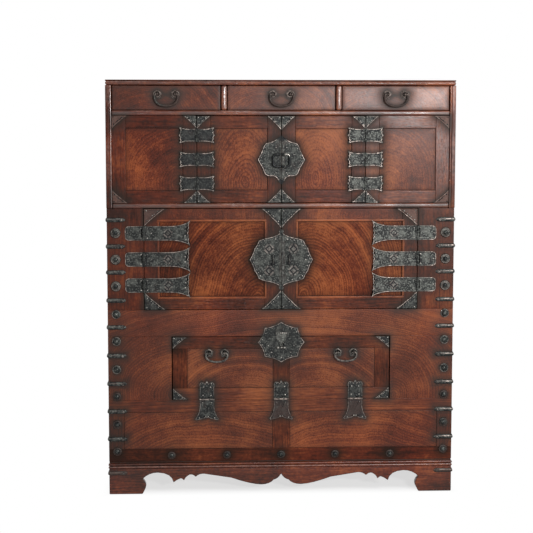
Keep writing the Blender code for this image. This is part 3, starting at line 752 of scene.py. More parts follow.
def twin_panels(node, body, low, high, outer, widths, sink, knot, looks):
    """Two rails, a centre stile, and a stile and a flush panel on each side of it."""
    stile, centre, bottom, top = widths
    x, z, tall = knot
    front, back = low.y, high.y
    z0, z1 = low.z + bottom + GAP, high.z - top - GAP
    timber = Timber(node, body)
    timber.board(low, (high.x, back, low.z + bottom), 0, *looks["bottom"])
    timber.board((low.x, front, high.z - top), high, 0, *looks["top"])
    timber.board((-centre / 2, front, z0), (centre / 2, back, z1), 2, FRAME, SOFT_EDGE)
    for side, sign in SIDES:
        x0, x1 = spread(sign, outer - stile, outer)
        timber.board((x0, front, z0), (x1, back, z1), 2, *looks[side])
        x0, x1 = spread(sign, centre / 2, outer - stile)
        figure = whorl(sign * x, z, tall)
        timber.panel((x0, front + sink, z0), (x1, back - BACK_SINK, z1), figure, CALM)
    timber.finish()


def make_case():
    """Sides with their posts, the boards that stand proud, and the bare boards inside."""
    nose = bpy.context.scene.chest_wood.nose
    for side, sign in SIDES:
        node = f"side_{side}"
        low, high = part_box(node)
        # Painted highlights on the posts and their beads, with a different strength on each side
        post_highlight, bead_highlight = (0.26, 0.15) if sign > 0 else (0.22, 0.45)
        post = {"radius": 0.0020, "worn": AHEAD, "rub": post_highlight}
        bead = {"finish": BEAD, "radius": 0.0030, "worn": AHEAD, "rub": bead_highlight}
        strips = ((HALF - POST_W, HALF, 0.0, post), (INNER, INNER + BEAD_W, 0.0, bead),
                  (INNER + BEAD_W, HALF - POST_W, POST_SINK, {"radius": 0.0002}))
        timber = Timber(node, slot="dark_wood")
        timber.board((low.x, INSIDE_Y, low.z), high, 2, cell=0.03)
        for near, far, sink, look in strips:
            x0, x1 = spread(sign, near, far)
            timber.board((x0, NOSE_Y + sink, Z_WAIST), (x1, INSIDE_Y, high.z), 2, **look)
        timber.finish()
    for node in ("top_board", "waist_board", "drawer_deck"):
        timber = Timber(node, slot="dark_wood")
        low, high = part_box(node)
        if node == "top_board":
            timber.board((low.x, low.y + TOP_STEP, high.z - TOP_CAP), high, 0, SHADED, cell=0.02)
            high.z -= TOP_CAP
        # A painted highlight along the upper front edge of each nose
        timber.board(low, high, 0, BEAD, radius=nose, cell=0.02, worn=UP_FRONT, rub=0.55)
        timber.finish()
    for side, _ in SIDES:
        node = f"drawer_divider_{side}"
        # A painted highlight along each divider's right edge
        one_board(node, *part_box(node), 2, "dark_wood", finish=BEAD, radius=0.0080, cell=0.02,
                  worn=(0.7, -1.0, 0.0))
    make_bare_boards()


def make_bare_boards():
    """The bottom, the shelf, and the back of nailed boards."""
    for node in ("bottom_board", "lower_shelf"):
        one_board(node, *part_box(node), 0, finish=BARE, cell=0.05)
    low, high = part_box("back_panel")
    timber = Timber("back_panel")
    edges = [low.z + part * (high.z - low.z) for part in BACK_BOARDS]
    for z0, z1 in zip(edges, edges[1:]):
        # Painted shade at the rims where the back's boards meet
        timber.board((low.x, low.y, z0), (high.x, high.y, z1 - GAP), 0, BARE, cell=0.02, rim_shade=0.8)
        for x in (low.x + NAIL_IN, 0.0, high.x - NAIL_IN):
            for z in (z0 + NAIL_IN, z1 - NAIL_IN):
                rivet("root", x, z, high.y - NAIL_SUNK, black=True)
    timber.finish()


def make_base():
    """The scalloped stand with softened edges, and the beaded moulding above it."""
    bm = bmesh.new()
    bm.from_mesh(frame["nodes"]["base_stand"].data)
    bmesh.ops.remove_doubles(bm, verts=bm.verts, dist=SOLID_WELD)
    bmesh.ops.dissolve_limit(bm, angle_limit=FLAT, verts=bm.verts, edges=bm.edges)
    sharp = [edge for edge in bm.edges if edge.is_manifold and edge.calc_face_angle() > STEEP]
    bmesh.ops.bevel(bm, geom=sharp, offset=STAND_EDGE, segments=2, affect="EDGES", clamp_overlap=True)
    bmesh.ops.triangulate(bm, faces=[face for face in bm.faces if len(face.verts) > 4])
    bmesh.ops.dissolve_degenerate(bm, dist=WELD, edges=bm.edges)
    log = bm.loops.layers.float_vector.new("log")
    lean, side_deep, front_deep, front_up = 0.02, 0.04, 0.05, 0.02
    for face in bm.faces:
        face.material_index = BASE
        on_side = abs(face.normal.x) > SIDEWAYS
        for loop in face.loops:
            x, y, z = loop.vert.co
            side_log = (y, z, x * lean + side_deep)
            loop[log] = side_log if on_side else (x, z + front_up, y * lean + front_deep)
    piece = new_wood("base_stand", bm)
    even_faces(piece)
    settle(piece, "root", "dark_wood", "base_stand")
    make_moulding()


def make_moulding():
    """Two reeded beads and a fillet, mitred round the case, with painted shade in the grooves and a painted
    highlight on the lower bead.
    """
    low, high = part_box("base_moulding")
    deep, proud, groove, steps = 0.024, 0.004, 0.0016, 7
    bead_share, fullness, groove_sink = 0.36, 0.7, 0.0048
    fillet_foot, fillet_rise, fillet_top = 0.0036, 0.001, 0.0046
    # Painted shade in the sunk grooves, and a painted highlight on the upper half of the lower bead
    soot_and_shade, groove_shade_from, rubbed, highlight_within, plain_from = 0.9, 0.0030, -0.4, 0.0012, 0.0035
    log_up, log_deep = 0.03, 0.04
    bead = (high.z - low.z) * bead_share
    profile = [(-deep, low.z)]
    z = low.z
    for _ in range(2):
        for i in range(steps + 1):
            angle = math.pi * i / steps
            out = -proud + proud * math.sin(angle) ** fullness
            profile.append((out, z + bead * (1 - math.cos(angle)) / 2))
        z += bead + groove
        profile.append((-groove_sink, z - groove / 2))
    profile += [(-fillet_foot, z + fillet_rise), (-fillet_top, high.z), (-deep, high.z)]
    bm = bmesh.new()
    log = bm.verts.layers.float_vector.new("log")
    grime = bm.verts.layers.float.new("grime")
    rows = []
    for offset, z in profile:
        row = []
        for x, y in ((low.x - offset, low.y - offset), (high.x + offset, low.y - offset),
                     (high.x + offset, high.y), (low.x - offset, high.y)):
            inner_back = offset == -deep and y == high.y
            vert = bm.verts.new((x, y - deep if inner_back else y, z))
            vert[log] = (x + y, z + log_up, log_deep)
            vert[grime] = soot_and_shade if offset < -groove_shade_from else 0.0
            if offset > -highlight_within and low.z + 0.5 * bead < z < low.z + bead:
                vert[grime] = rubbed
            row.append(vert)
        rows.append(row)
    for row, (one, two) in enumerate(zip(rows, rows[1:] + rows[:1])):
        # Sunk faces take the darker frame wood, as painted shade
        sunk = min(abs(profile[k % len(profile)][0]) for k in (row, row + 1)) > plain_from
        for i in range(4):
            j = (i + 1) % 4
            bm.faces.new((one[i], one[j], two[j], two[i])).material_index = FRAME if sunk else BASE
    bmesh.ops.recalc_face_normals(bm, faces=bm.faces)
    piece = new_wood("base_moulding", bm)
    piece.data.set_sharp_from_angle(angle=SHARP)
    settle(piece, "root", "dark_wood", "base_moulding")


def make_fronts():
    """Fixed framed wings, stiles, rail, cheeks and the lower front."""
    for side, sign in SIDES:
        # The right wing's frame takes the sheen wood, painted lighter
        upper_front(f"wing_{side}", "root", (sign * 0.372, 1.090, 0.72), field=WING,
                    frame=SHEEN if sign > 0 else FRAME)
        one_board(f"middle_stile_{side}", *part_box(f"middle_stile_{side}"), 2, "dark_wood")
        low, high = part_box(f"cheek_{side}")
        low.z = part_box("lower_front")[1].z + GAP
        figure = whorl(sign * 0.395, 0.345, 0.85)
        one_board(f"cheek_{side}", low, high, figure, finish=CALM, radius=SOFT_EDGE)
    low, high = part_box("lower_top_rail")
    low.y = FACE_Y
    one_board("lower_top_rail", low, high, whorl(0.05, -0.55, 1.2), "dark_wood", finish=CALM)
    looks = {"bottom": (SHADED,), "top": (CALM, SOFT_EDGE), "left": (CALM, 0.0004), "right": (CALM, 0.0004)}
    twin_panels("lower_front", "root", *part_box("lower_front"), HALF, LOWER_FRAME, 0.0006,
                (0.26, -0.62, 0.9), looks)


def make_drawers():
    """Drawer fronts with bare boxes behind them."""
    side_t, floor_t, front_t = 0.010, 0.007, 0.018
    aside, below, lift = 0.004, 0.008, 0.001
    for bay in BAYS:
        node = f"drawer_{bay}"
        low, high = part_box(node)
        low.y = FACE_Y
        timber = Timber(node, node)
        swirl = whorl((low.x + high.x) / 2 - 0.06, low.z - 0.05, 1.3)
        # Painted shade at the rim and a painted highlight along the upper front edges; the left drawer is
        # painted darker
        timber.board(low, (high.x, FACE_Y + front_t, high.z), swirl, SHADED_DRAWER if bay == "left" else DRAWER,
                     radius=0.0034, rim_shade=0.9, worn=UP_FRONT, rub=1.1)
        y0, y1 = FACE_Y + front_t, high.y
        top = high.z - below
        x0, x1 = low.x + aside, high.x - aside
        left, right = x0 + side_t, x1 - side_t
        boards = (((x0, y0, low.z), (left, y1, top), 1), ((right, y0, low.z), (x1, y1, top), 1),
                  ((left, y1 - side_t, low.z), (right, y1, top), 0),
                  ((left, y0, low.z + lift), (right, y1 - side_t, low.z + floor_t), 0))
        for near, far, grain in boards:
            timber.board(near, far, grain, BARE, cell=0.05)
        timber.finish()


def make_upper_doors():
    for side, sign in SIDES:
        node = f"upper_door_{side}"
        # The right door's panel is painted lighter, as painted light
        upper_front(node, node, (sign * 0.125, 1.118, 0.62), field=LIT_PANEL if sign > 0 else PANEL)


def make_middle_doors():
    for side, sign in SIDES:
        node = f"middle_door_{side}"
        timber = Timber(node, node)
        timber.framed(*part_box(node), MIDDLE_STILES[::-sign], (MIDDLE_RAIL, MIDDLE_RAIL), DEEP_SINK,
                      whorl(sign * 0.085, 0.700, 0.82), bead=0.0074,
                      top_grain=whorl(sign * 0.26, 0.990, 1.4), field=DOOR)
        timber.finish()


def make_drop_front():
    low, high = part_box("drop_front")
    low.y, high.y = FACE_Y, FACE_Y + DOOR_T
    low.x, high.x = low.x + SIDE_GAP, high.x - SIDE_GAP
    low.z -= FOOT_GAP
    looks = {"bottom": (CALM, SOFT_EDGE), "top": (FRAME,), "left": (SHADED,), "right": (FRAME,)}
    twin_panels("drop_front", "drop_front", low, high, high.x, DROP_FRAME, 0.0010, (0.12, 0.24, 1.1), looks)


# Outlines
def traced(*stops, steps=5):
    """Points of an outline. A stop is a point, or a bend and the point that it leads to."""
    points = [stops[0]]
    for stop in stops[1:]:
        if not isinstance(stop[0], tuple):
            points.append(stop)
            continue
        bend, end = stop
        start = points[-1]
        for i in range(1, steps + 1):
            t = i / steps
            weights = ((1 - t) ** 2, 2 * t * (1 - t), t * t)
            parts = list(zip(weights, (start, bend, end)))
            points.append(tuple(sum(weight * point[k] for weight, point in parts) for k in (0, 1)))
    return points


def scaled(wide, tall, *stops):
    """Stops of an outline from shares of its two sizes."""
    made = []
    for stop in stops:
        if isinstance(stop[0], tuple):
            made.append(tuple((u * wide, v * tall) for u, v in stop))
        else:
            made.append((stop[0] * wide, stop[1] * tall))
    return made


def both_halves(upper):
    """The upper half of an outline that ends on its axis, and the lower half back."""
    return upper + [(x, -z) for x, z in reversed(upper[:-1])]


def clipped(points, axis, limit, keep):
    """The part of an outline on one side of a straight cut."""
    made = []
    for a, b in zip(points, points[1:] + points[:1]):
        over_a, over_b = keep * (a[axis] - limit), keep * (b[axis] - limit)
        if over_a >= 0:
            made.append(a)
        if over_a * over_b < 0:
            t = over_a / (over_a - over_b)
            made.append(tuple(a[k] + t * (b[k] - a[k]) for k in (0, 1)))
    return made


def raised(points, z):
    return [(a, b + z) for a, b in points]


def circle(x, z, radius, count):
    turns = [i * math.tau / count for i in range(count)]
    return [(x + radius * math.cos(turn), z + radius * math.sin(turn)) for turn in turns]


def both_ways(value):
    """The two signs of a value that has a mirror image, or one for a value on the axis."""
    return (-1, 1) if value else (1,)


def eight_pointed(half_w, half_h, waist):
    """A plate with eight points and hollow sides. Its waist is a share of its half sizes."""
    def at(angle, reach=1.0):
        return (half_w * reach * math.cos(angle), half_h * reach * math.sin(angle))

    points = []
    for i in range(8):
        angle = i * math.pi / 4
        one, two = at(angle), at(angle + math.pi / 4)
        middle = at(angle + math.pi / 8, waist)
        bend = tuple(2 * middle[k] - (one[k] + two[k]) / 2 for k in (0, 1))
        points += traced(one, (bend, two), steps=6)[:-1]
    return points


def room_inwards(points, index, way):
    """How far a point can go one way before it meets the far side of its outline."""
    start = Vector(points[index])
    count = len(points)
    room = math.inf
    for i in range(count):
        if i in (index, (index - 1) % count):
            continue
        a, b = Vector(points[i]), Vector(points[(i + 1) % count])
        across = b - a
        turn = way.x * across.y - way.y * across.x
        if abs(turn) < TINY:
            continue
        to_a = a - start
        along = (to_a.x * across.y - to_a.y * across.x) / turn
        part = (to_a.x * way.y - to_a.y * way.x) / turn
        if along > NEAR and 0.0 <= part <= 1.0:
            room = min(room, along)
    return room


def inward_ways(points):
    """For each point of an outline, its way inwards at an even distance and the room it has."""
    count = len(points)
    area = sum(a[0] * b[1] - b[0] * a[1] for a, b in zip(points, points[1:] + points[:1]))
    turn = 1.0 if area > 0 else -1.0
    ways = []
    for i in range(count):
        before = (Vector(points[i]) - Vector(points[i - 1])).normalized()
        after = (Vector(points[(i + 1) % count]) - Vector(points[i])).normalized()
        normals = [Vector((-run.y, run.x)) * turn for run in (before, after)]
        middle = (normals[0] + normals[1]).normalized()
        stretch = 1.0 / max(MITRE_LIMIT, middle.dot(normals[0]))
        ways.append((middle * stretch, ROOM_SHARE * room_inwards(points, i, middle)))
    return ways


def walk(points, pitch, inset):
    """Places about a pitch apart along a closed outline, drawn in towards its middle."""
    xs, zs = zip(*points)
    cx, cz = (min(xs) + max(xs)) / 2, (min(zs) + max(zs)) / 2
    ring = []
    for x, z in points:
        reach = math.hypot(x - cx, z - cz)
        share_in = max(0.0, 1 - inset / reach) if reach else 0.0
        ring.append(Vector((cx + (x - cx) * share_in, cz + (z - cz) * share_in)))
    total = sum((b - a).length for a, b in zip(ring, ring[1:] + ring[:1]))
    step = total / max(3, round(total / pitch))
    places = []
    travelled = step / 2
    for a, b in zip(ring, ring[1:] + ring[:1]):
        run = (b - a).length
        while travelled <= run and run > 0:
            places.append(tuple(a.lerp(b, travelled / run)))
            travelled += step
        travelled -= run
    return places


# Iron
# Place across a strap, height and painted light of each point of its section: a painted highlight along the
# upper side, painted shade elsewhere
STRAP_PROFILE = ((-1.0, 0.0, -0.8), (-0.92, 0.38, -0.6), (-0.70, 0.72, -0.4), (-0.35, 0.94, -0.2),
                 (0.0, 1.0, 0.1), (0.35, 0.94, 0.85), (0.70, 0.72, 0.1), (0.92, 0.38, -0.5),
                 (1.0, 0.0, -0.8))
# Place along a strap, width, ridge and strength of the painted highlight of each of its sections, stronger
# on the bar than on the leaf
STRAP_LEAF = ((0.0, 0.12, 0.30, 0.2), (0.06, 0.52, 0.55, 0.3), (0.16, 0.78, 0.70, 0.2),
              (0.30, 0.80, 0.85, 0.3), (0.46, 0.78, 1.05, 0.9), (0.92, 0.76, 1.20, 1.2))


class Ironwork:
    """Plates, rods and bent wire gathered into one piece, with how rubbed each point is and, in places, a
    painted highlight.
    """

    def __init__(self):
        self.bm = bmesh.new()
        self.wear = self.bm.verts.layers.float.new("wear")
        self.iron = bpy.context.scene.chest_iron
        self.field = LEAF_Y - FIELD_SHARE * self.iron.plate
        self.seat = LEAF_Y - SEAT_SHARE * self.iron.plate

    def rub(self, verts, amount):
        for vert in verts:
            vert[self.wear] = amount

    def plate(self, points, back, thickness=None, border=None, tone=-0.08, rim=1.0, halo=1.0, flat=False):
        """A closed plate. Tone and rim say how rubbed its field and its raised border are.

        Halo says how dark the wood beside it is, and a flat plate has no border.
        """
        thickness = thickness or self.iron.plate
        border = border or self.iron.border
        chamfer = 0.3 * thickness
        front = back - thickness
        inset = 0.8 * chamfer
        groove = front + 0.3 * thickness
        shade = min(rim, tone - 0.60)
        rows = [(0.0, back, -0.5), (0.0, front + chamfer, 0.7 * rim), (inset, front, rim)]
        if flat:
            rows.append((inset + border, front, tone))
        else:
            rows += [(inset + 0.85 * border, front, rim), (inset + 1.1 * border, groove, shade),
                     (inset + 1.7 * border, groove, 0.8 * shade), (inset + 2.4 * border, groove, tone)]
        ways = inward_ways(points)
        rings = []
        for inwards, y, wear in rows:
            ring = []
            for point, (way, room) in zip(points, ways):
                x, z = Vector(point) + way * min(inwards, room / way.length)
                ring.append(self.bm.verts.new((x, y, z)))
            self.rub(ring, wear)
            rings.append(ring)
        bmesh.ops.triangulate(self.bm, faces=self.skin(rings))
        if halo:
            HALOS.append((points, halo))
        return [vert for ring in rings for vert in ring]

    def skin(self, rings):
        """Faces between rings of as many points. Returns the two that close the ends."""
        for one, two in zip(rings, rings[1:]):
            for i in range(len(one)):
                j = (i + 1) % len(one)
                self.bm.faces.new((one[i], one[j], two[j], two[i]))
        return [self.bm.faces.new(ring) for ring in (rings[0], rings[-1])]

    def rod(self, start, end, radius, sides=12, wear=0.35):
        """A round bar with softened ends."""
        run = Vector(end) - Vector(start)
        soft = run.normalized() * min(0.25 * radius, 0.3 * run.length)
        path = [Vector(start), Vector(start) + soft, Vector(end) - soft, Vector(end)]
        self.sweep(path, [0.75 * radius, radius, radius, 0.75 * radius], sides=sides, wear=wear)

    def sweep(self, path, radii, sides=10, wear=0.35):
        """A round wire along a path, closed at both ends."""
        path = [Vector(point) for point in path]
        runs = [(b - a).normalized() for a, b in zip(path, path[1:])]
        bends = [(a + b).normalized() for a, b in zip(runs, runs[1:])]
        tangents = [runs[0], *bends, runs[-1]]
        across = tangents[0].orthogonal().normalized()
        rows = []
        for point, tangent, radius in zip(path, tangents, radii):
            across = (across - tangent * across.dot(tangent)).normalized()
            up = tangent.cross(across)
            row = []
            for i in range(sides):
                angle = 2 * math.pi * i / sides
                around = across * math.cos(angle) + up * math.sin(angle)
                row.append(self.bm.verts.new(point + around * radius))
            self.rub(row, wear)
            rows.append(row)
        self.skin(rows)

    def band(self, sections, wear=0.5):
        """A rounded strip: each section has its middle, its outward direction, half width, ridge and the
        strength of its painted highlight.
        """
        rows = []
        for middle, outward, half, ridge, rub in sections:
            middle, outward = Vector(middle), Vector(outward).normalized()
            row = []
            for across, out, rubbed in STRAP_PROFILE:
                vert = self.bm.verts.new(middle + Vector((0, 0, across * half)) + outward * out * ridge)
                vert[self.wear] = wear * rub * rubbed if rubbed > 0 else rubbed
                row.append(vert)
            rows.append(row)
        self.skin(rows)

    def finish(self, name, body, *nodes, metal="iron"):
        """Close the shapes into a piece on a body, for the nodes that it stands for."""
        bmesh.ops.dissolve_degenerate(self.bm, dist=WELD, edges=self.bm.edges)
        bmesh.ops.recalc_face_normals(self.bm, faces=self.bm.faces)
        piece = new_piece(name, self.bm, [FINISH[metal]])
        piece.data.set_sharp_from_angle(angle=SHARP)
        settle(piece, body, "dark_iron", *nodes)


def rivet(body, x, z, y=None, size=1.0, black=False):
    """Note a rivet head, which grows with the others on its body."""
    field = LEAF_Y - FIELD_SHARE * bpy.context.scene.chest_iron.plate
    RIVETS.setdefault((body, black), []).append(((x, field if y is None else y, z), size))


def rivet_pairs(body, place, long, half, spots):
    """Rivets on a leaf and their mirror images, at shares of its length and half its height."""
    for u, v, size in spots:
        for up in both_ways(v):
            rivet(body, *place(u * long, up * v * half), size=size)


# Hinges
def knuckle_edge(height, fixed):
    """The edge of a leaf along its pin, with tabs where its own knuckles are."""
    half = height / 2
    inner = height / 6 + (KNUCKLE_CLEAR if fixed else -KNUCKLE_CLEAR)
    outside, inside = (0.0, LEAF_START) if fixed else (LEAF_START, 0.0)
    return [(outside, -half), (outside, -inner), (inside, -inner),
            (inside, inner), (outside, inner), (outside, half)]


def dull(ironwork, verts, axis, line, reach=SEAM_REACH):
    """Lay a plate's border level with its field along a line, with no rub."""
    for vert in verts:
        if abs(vert.co[axis] - line) < reach:
            vert.co.y = max(vert.co.y, ironwork.field)
            vert[ironwork.wear] = min(vert[ironwork.wear], 0.0)


def hinge_leaf(ironwork, place, height, edge, fixed, shine=-0.3, tone=-0.1, rim=1.0, halo=1.0):
    """One leaf and its knuckles. Place turns the leaf's own length and height into x and z."""
    points = [place(*point) for point in knuckle_edge(height, fixed) + edge]
    verts = ironwork.plate(points, LEAF_Y, tone=tone, rim=rim, halo=halo)
    pin, along = place(0.0, 0.0), place(1.0, 0.0)
    axis = 0 if along[0] != pin[0] else 2
    dull(ironwork, verts, axis, pin[0] if axis == 0 else pin[1], 2.5 * LEAF_START)
    hinge_knuckles(ironwork, place, height, fixed, shine)


def hinge_knuckles(ironwork, place, height, fixed, shine):
    """The pin and two outer knuckles of a fixed leaf, or the middle knuckle of a moving one."""
    axis_y = PIVOTS["drop_front_hinge"][1]
    third = height / 6
    radius = ironwork.iron.knuckle

    def bar(near, far, thick, wear):
        ends = [place(0.0, v) for v in (near, far)]
        ironwork.rod(*[(x, axis_y, z) for x, z in ends], thick, wear=wear)

    if fixed:
        for sign in (-1, 1):
            bar(sign * (third + KNUCKLE_CLEAR / 2), sign * (height / 2 + 0.001), radius, shine)
        bar(-height / 2, height / 2, 0.5 * radius, 0.3)
    else:
        bar(KNUCKLE_CLEAR / 2 - third, third - KNUCKLE_CLEAR / 2, radius, shine)


def butterfly_edge(long, height, flare):
    """A leaf that widens to a notched end."""
    tip = flare / 2
    end = scaled(long, tip, ((0.95, 0.80), (0.88, 0.66)), ((0.97, 0.52), (0.91, 0.30)),
                 ((0.94, 0.12), (1.0, 0.0)))
    upper = traced((LEAF_START, height / 2), ((long * 0.58, height * 0.41), (long * 0.94, tip)), *end)
    return both_halves(upper)[1:-1]


def make_upper_hinges():
    """Butterfly hinges, with a raised field and black nails on each leaf."""
    field = traced((0.10, 0.39), ((0.50, 0.34), (0.80, 0.42)), (0.80, -0.42), ((0.50, -0.34), (0.10, -0.39)))
    spots = ((0.92, 0.86, 0.6), (0.88, 0.34, 0.75), (0.94, 0.0, 0.75))
    nails = ((0.71, 0.56), (0.19, 0.52))
    for side, sign in SIDES:
        axis = PIVOTS[f"upper_door_{side}_hinge"]
        # The leaves on the right get a paler field and the sheened iron, as painted sheen
        tone, metal = (-0.12, "hazy") if sign > 0 else (-0.62, "iron")
        for index in (1, 2, 3):
            low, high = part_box(f"upper_hinge_fixed_{side}_{index}")
            middle = (low.z + high.z) / 2
            long = high.x - axis[0] if sign > 0 else axis[0] - low.x
            flare = high.z - low.z
            height = 0.82 * flare
            for kind, body, turn in (("fixed", "root", sign), ("moving", f"upper_door_{side}", -sign)):
                def place(u, v, turn=turn):
                    return (axis[0] + turn * u, middle + v)
                ironwork = Ironwork()
                hinge_leaf(ironwork, place, height, butterfly_edge(long, height, flare), kind == "fixed")
                ironwork.plate([place(u * long, v * height) for u, v in field], ironwork.seat,
                               thickness=0.0009, border=0.0010, tone=tone, rim=-0.2, halo=0.0)
                node = f"upper_hinge_{kind}_{side}_{index}"
                ironwork.finish(f"{node}_iron", body, node, metal=metal)
                rivet_pairs(body, place, long, flare / 2, spots)
                for u, v in nails:
                    for up in (-1, 1):
                        rivet(body, *place(u * long, up * v * flare / 2), LEAF_Y - 0.0022, black=True)


def round_edge(long, height):
    half = height / 2
    upper = traced((LEAF_START, half), (long - half * 0.6, half),
                   ((long, half), (long, half * 0.42)), (long, 0.0))
    return both_halves(upper)[1:-1]


def strap_end(long, flare):
    """The cusped end of a fishtail, from its top to its middle."""
    return traced(*scaled(long, flare, (1.0, 1.0), ((0.965, 0.80), (0.955, 0.56)),
                          ((0.985, 0.42), (0.948, 0.30)), ((0.975, 0.14), (0.940, 0.0))))


def strap_edge(long, height, flare):
    """A long strap that flares into a cusped fishtail."""
    half = height / 2
    upper = traced((LEAF_START, half), (long * 0.56, half),
                   ((long * 0.86, half * 1.05), (long, flare)), steps=7)
    return both_halves(upper + strap_end(long, flare)[1:])[1:-1]


def coin_motif(ironwork, x, z, size):
    """A black round field with a raised diamond and four pale bars along the diamond's sides."""
    reach = 0.50 * size
    diamond = [(x + reach, z), (x, z + reach), (x - reach, z), (x, z - reach)]
    layers = [(circle(x, z, size, 20), 0.0006, 0.0006, -0.9, -0.6), (diamond, 0.0016, 0.0010, 0.30, 0.55)]
    bar = ((1.08, 0.26), (0.26, 1.08), (0.02, 0.80), (0.80, 0.02))
    for across, up in ((1, 1), (-1, 1), (-1, -1), (1, -1)):
        points = [(x + across * u * size, z + up * v * size) for u, v in bar]
        layers.append((points, 0.0017, 0.0008, 0.36, 0.32))
    for points, thickness, border, tone, rim in layers:
        ironwork.plate(points, ironwork.seat, thickness, border, tone, rim, halo=0.0, flat=True)


def make_middle_hinges():
    """Three long straps on each middle door and their round-ended leaves on the stile."""
    height, flare = 0.050, 0.0452
    leaf_spots = ((0.16, 0.68), (0.86, 0.0), (0.16, -0.68))
    near_spots = ((0.075, 0.34, 1.0), (0.16, 0.0, 0.9))
    tail_spots = ((0.88, 0.20, 1.0), (0.90, 0.50, 0.9), (0.94, 0.80, 0.8))
    for side, sign in SIDES:
        axis = PIVOTS[f"middle_door_{side}_hinge"]
        straps = f"middle_straps_{side}"
        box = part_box(straps)
        long = abs((box[0] if sign > 0 else box[1]).x - axis[0])
        door = Ironwork()
        # The iron on the right is painted paler, as painted sheen
        metal = "hazy" if sign > 0 else "iron"
        body = f"middle_door_{side}"
        for index in (1, 2, 3):
            node = f"middle_hinge_fixed_{side}_{index}"
            low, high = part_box(node)
            middle = (low.z + high.z) / 2
            leaf_long = abs((high if sign > 0 else low).x - axis[0])

            def fixed_place(u, v):
                return (axis[0] + sign * u, middle + v)

            def door_place(u, v):
                return (axis[0] - sign * u, middle + v)

            post = Ironwork()
            hinge_leaf(post, fixed_place, height, round_edge(leaf_long, height), True, halo=0.5)
            post.finish(f"{node}_iron", "root", node, metal=metal)
            for u, v in leaf_spots:
                rivet("root", *fixed_place(u * leaf_long, v * height / 2), size=1.1)
            hinge_leaf(door, door_place, height, strap_edge(long, height, flare), False, halo=0.5)
            coin_motif(door, *door_place(0.084, 0.0), 0.0160)
            rivet_pairs(body, door_place, long, height, near_spots)
            rivet_pairs(body, door_place, long, flare, tail_spots)
        door.finish(f"{straps}_iron", body, straps, metal=metal)


def trefoil_edge(long, width):
    """Two round lobes and a pointed one between them."""
    half = width / 2
    lobes = scaled(long, half, (0.64, 0.98), ((0.74, 1.08), (0.84, 0.99)), ((0.95, 0.86), (0.91, 0.56)),
                   ((0.90, 0.28), (0.83, 0.24)), ((0.93, 0.20), (1.0, 0.0)))
    return both_halves(traced((LEAF_START, half), *lobes))[1:-1]


def fishtail_edge(long, width, flare):
    """Hollow sides that run out into two tips, with a notched end between them."""
    half, tip = width / 2, flare / 2
    end = scaled(long, tip, ((1.02, 1.0), (1.0, 0.82)), ((0.97, 0.62), (0.955, 0.46)),
                 ((0.94, 0.26), (0.885, 0.16)), (0.895, 0.0))
    upper = traced((LEAF_START, half), (long * 0.28, half * 0.99),
                   ((long * 0.66, half * 0.98), (long * 0.94, tip)), *end)
    return both_halves(upper)[1:-1]


def make_drop_hinges():
    """Hinges with a fishtail below the drop front and a trefoil on it."""
    width = 0.051
    tail_spots = ((0.16, 0.60, 0.8), (0.83, 0.15, 1.0), (0.90, 1.05, 0.7))
    leaf_spots = ((0.22, 0.55, 1.1), (0.66, 0.48, 1.1), (0.84, 0.62, 0.8), (0.90, 0.0, 0.8))
    axis = PIVOTS["drop_front_hinge"]
    for bay in BAYS:
        low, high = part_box(f"drop_hinge_fixed_{bay}")
        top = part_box(f"drop_hinge_moving_{bay}")[1].z
        middle = (low.x + high.x) / 2
        tail, leaf = TAIL_SHARE * (axis[2] - low.z), top - axis[2]
        tail_edge, leaf_edge = fishtail_edge(tail, width, high.x - low.x), trefoil_edge(leaf, width)
        tail_metal = "iron" if bay == "left" else "brown"
        kinds = (("fixed", "root", -1, tail_edge, tail, tail_spots, tail_metal),
                 ("moving", "drop_front", 1, leaf_edge, leaf, leaf_spots, "iron"))
        for kind, body, turn, edge, long, spots, metal in kinds:
            def place(u, v, turn=turn):
                return (middle + v, axis[2] + turn * u)
            ironwork = Ironwork()
            hinge_leaf(ironwork, place, width, edge, kind == "fixed", shine=1.0, tone=-0.30, rim=0.55)
            node = f"drop_hinge_{kind}_{bay}"
            ironwork.finish(f"{node}_iron", body, node, metal=metal)
            rivet_pairs(body, place, long, width / 2, spots)


# Lock plates
def walked_rivets(body, outline, pitch, inset, size, fits):
    """Rivets along an outline, at the places that fit."""
    for x, z in walk(outline, pitch, inset):
        if fits(x, z):
            rivet(body, x, z, size=size)


def make_lock_plates():
    trim = bpy.context.scene.chest_trim
    make_upper_lock(*trim.upper_lock)
    make_middle_lock(*trim.middle_lock)
    make_lower_lock(*trim.lower_lock)


def centre_band(ironwork, sign, near, far, z, half_h):
    """Half of the raised band that covers the seam of two doors."""
    x0, x1 = spread(sign, near, far)
    tip = half_h * 0.06
    points = [(x0, z - half_h), (x1, z - half_h + tip), (x1, z + half_h - tip), (x0, z + half_h)]
    ironwork.plate(points, ironwork.seat, thickness=0.0020, border=0.0014, tone=0.1, rim=0.22, halo=0.0)


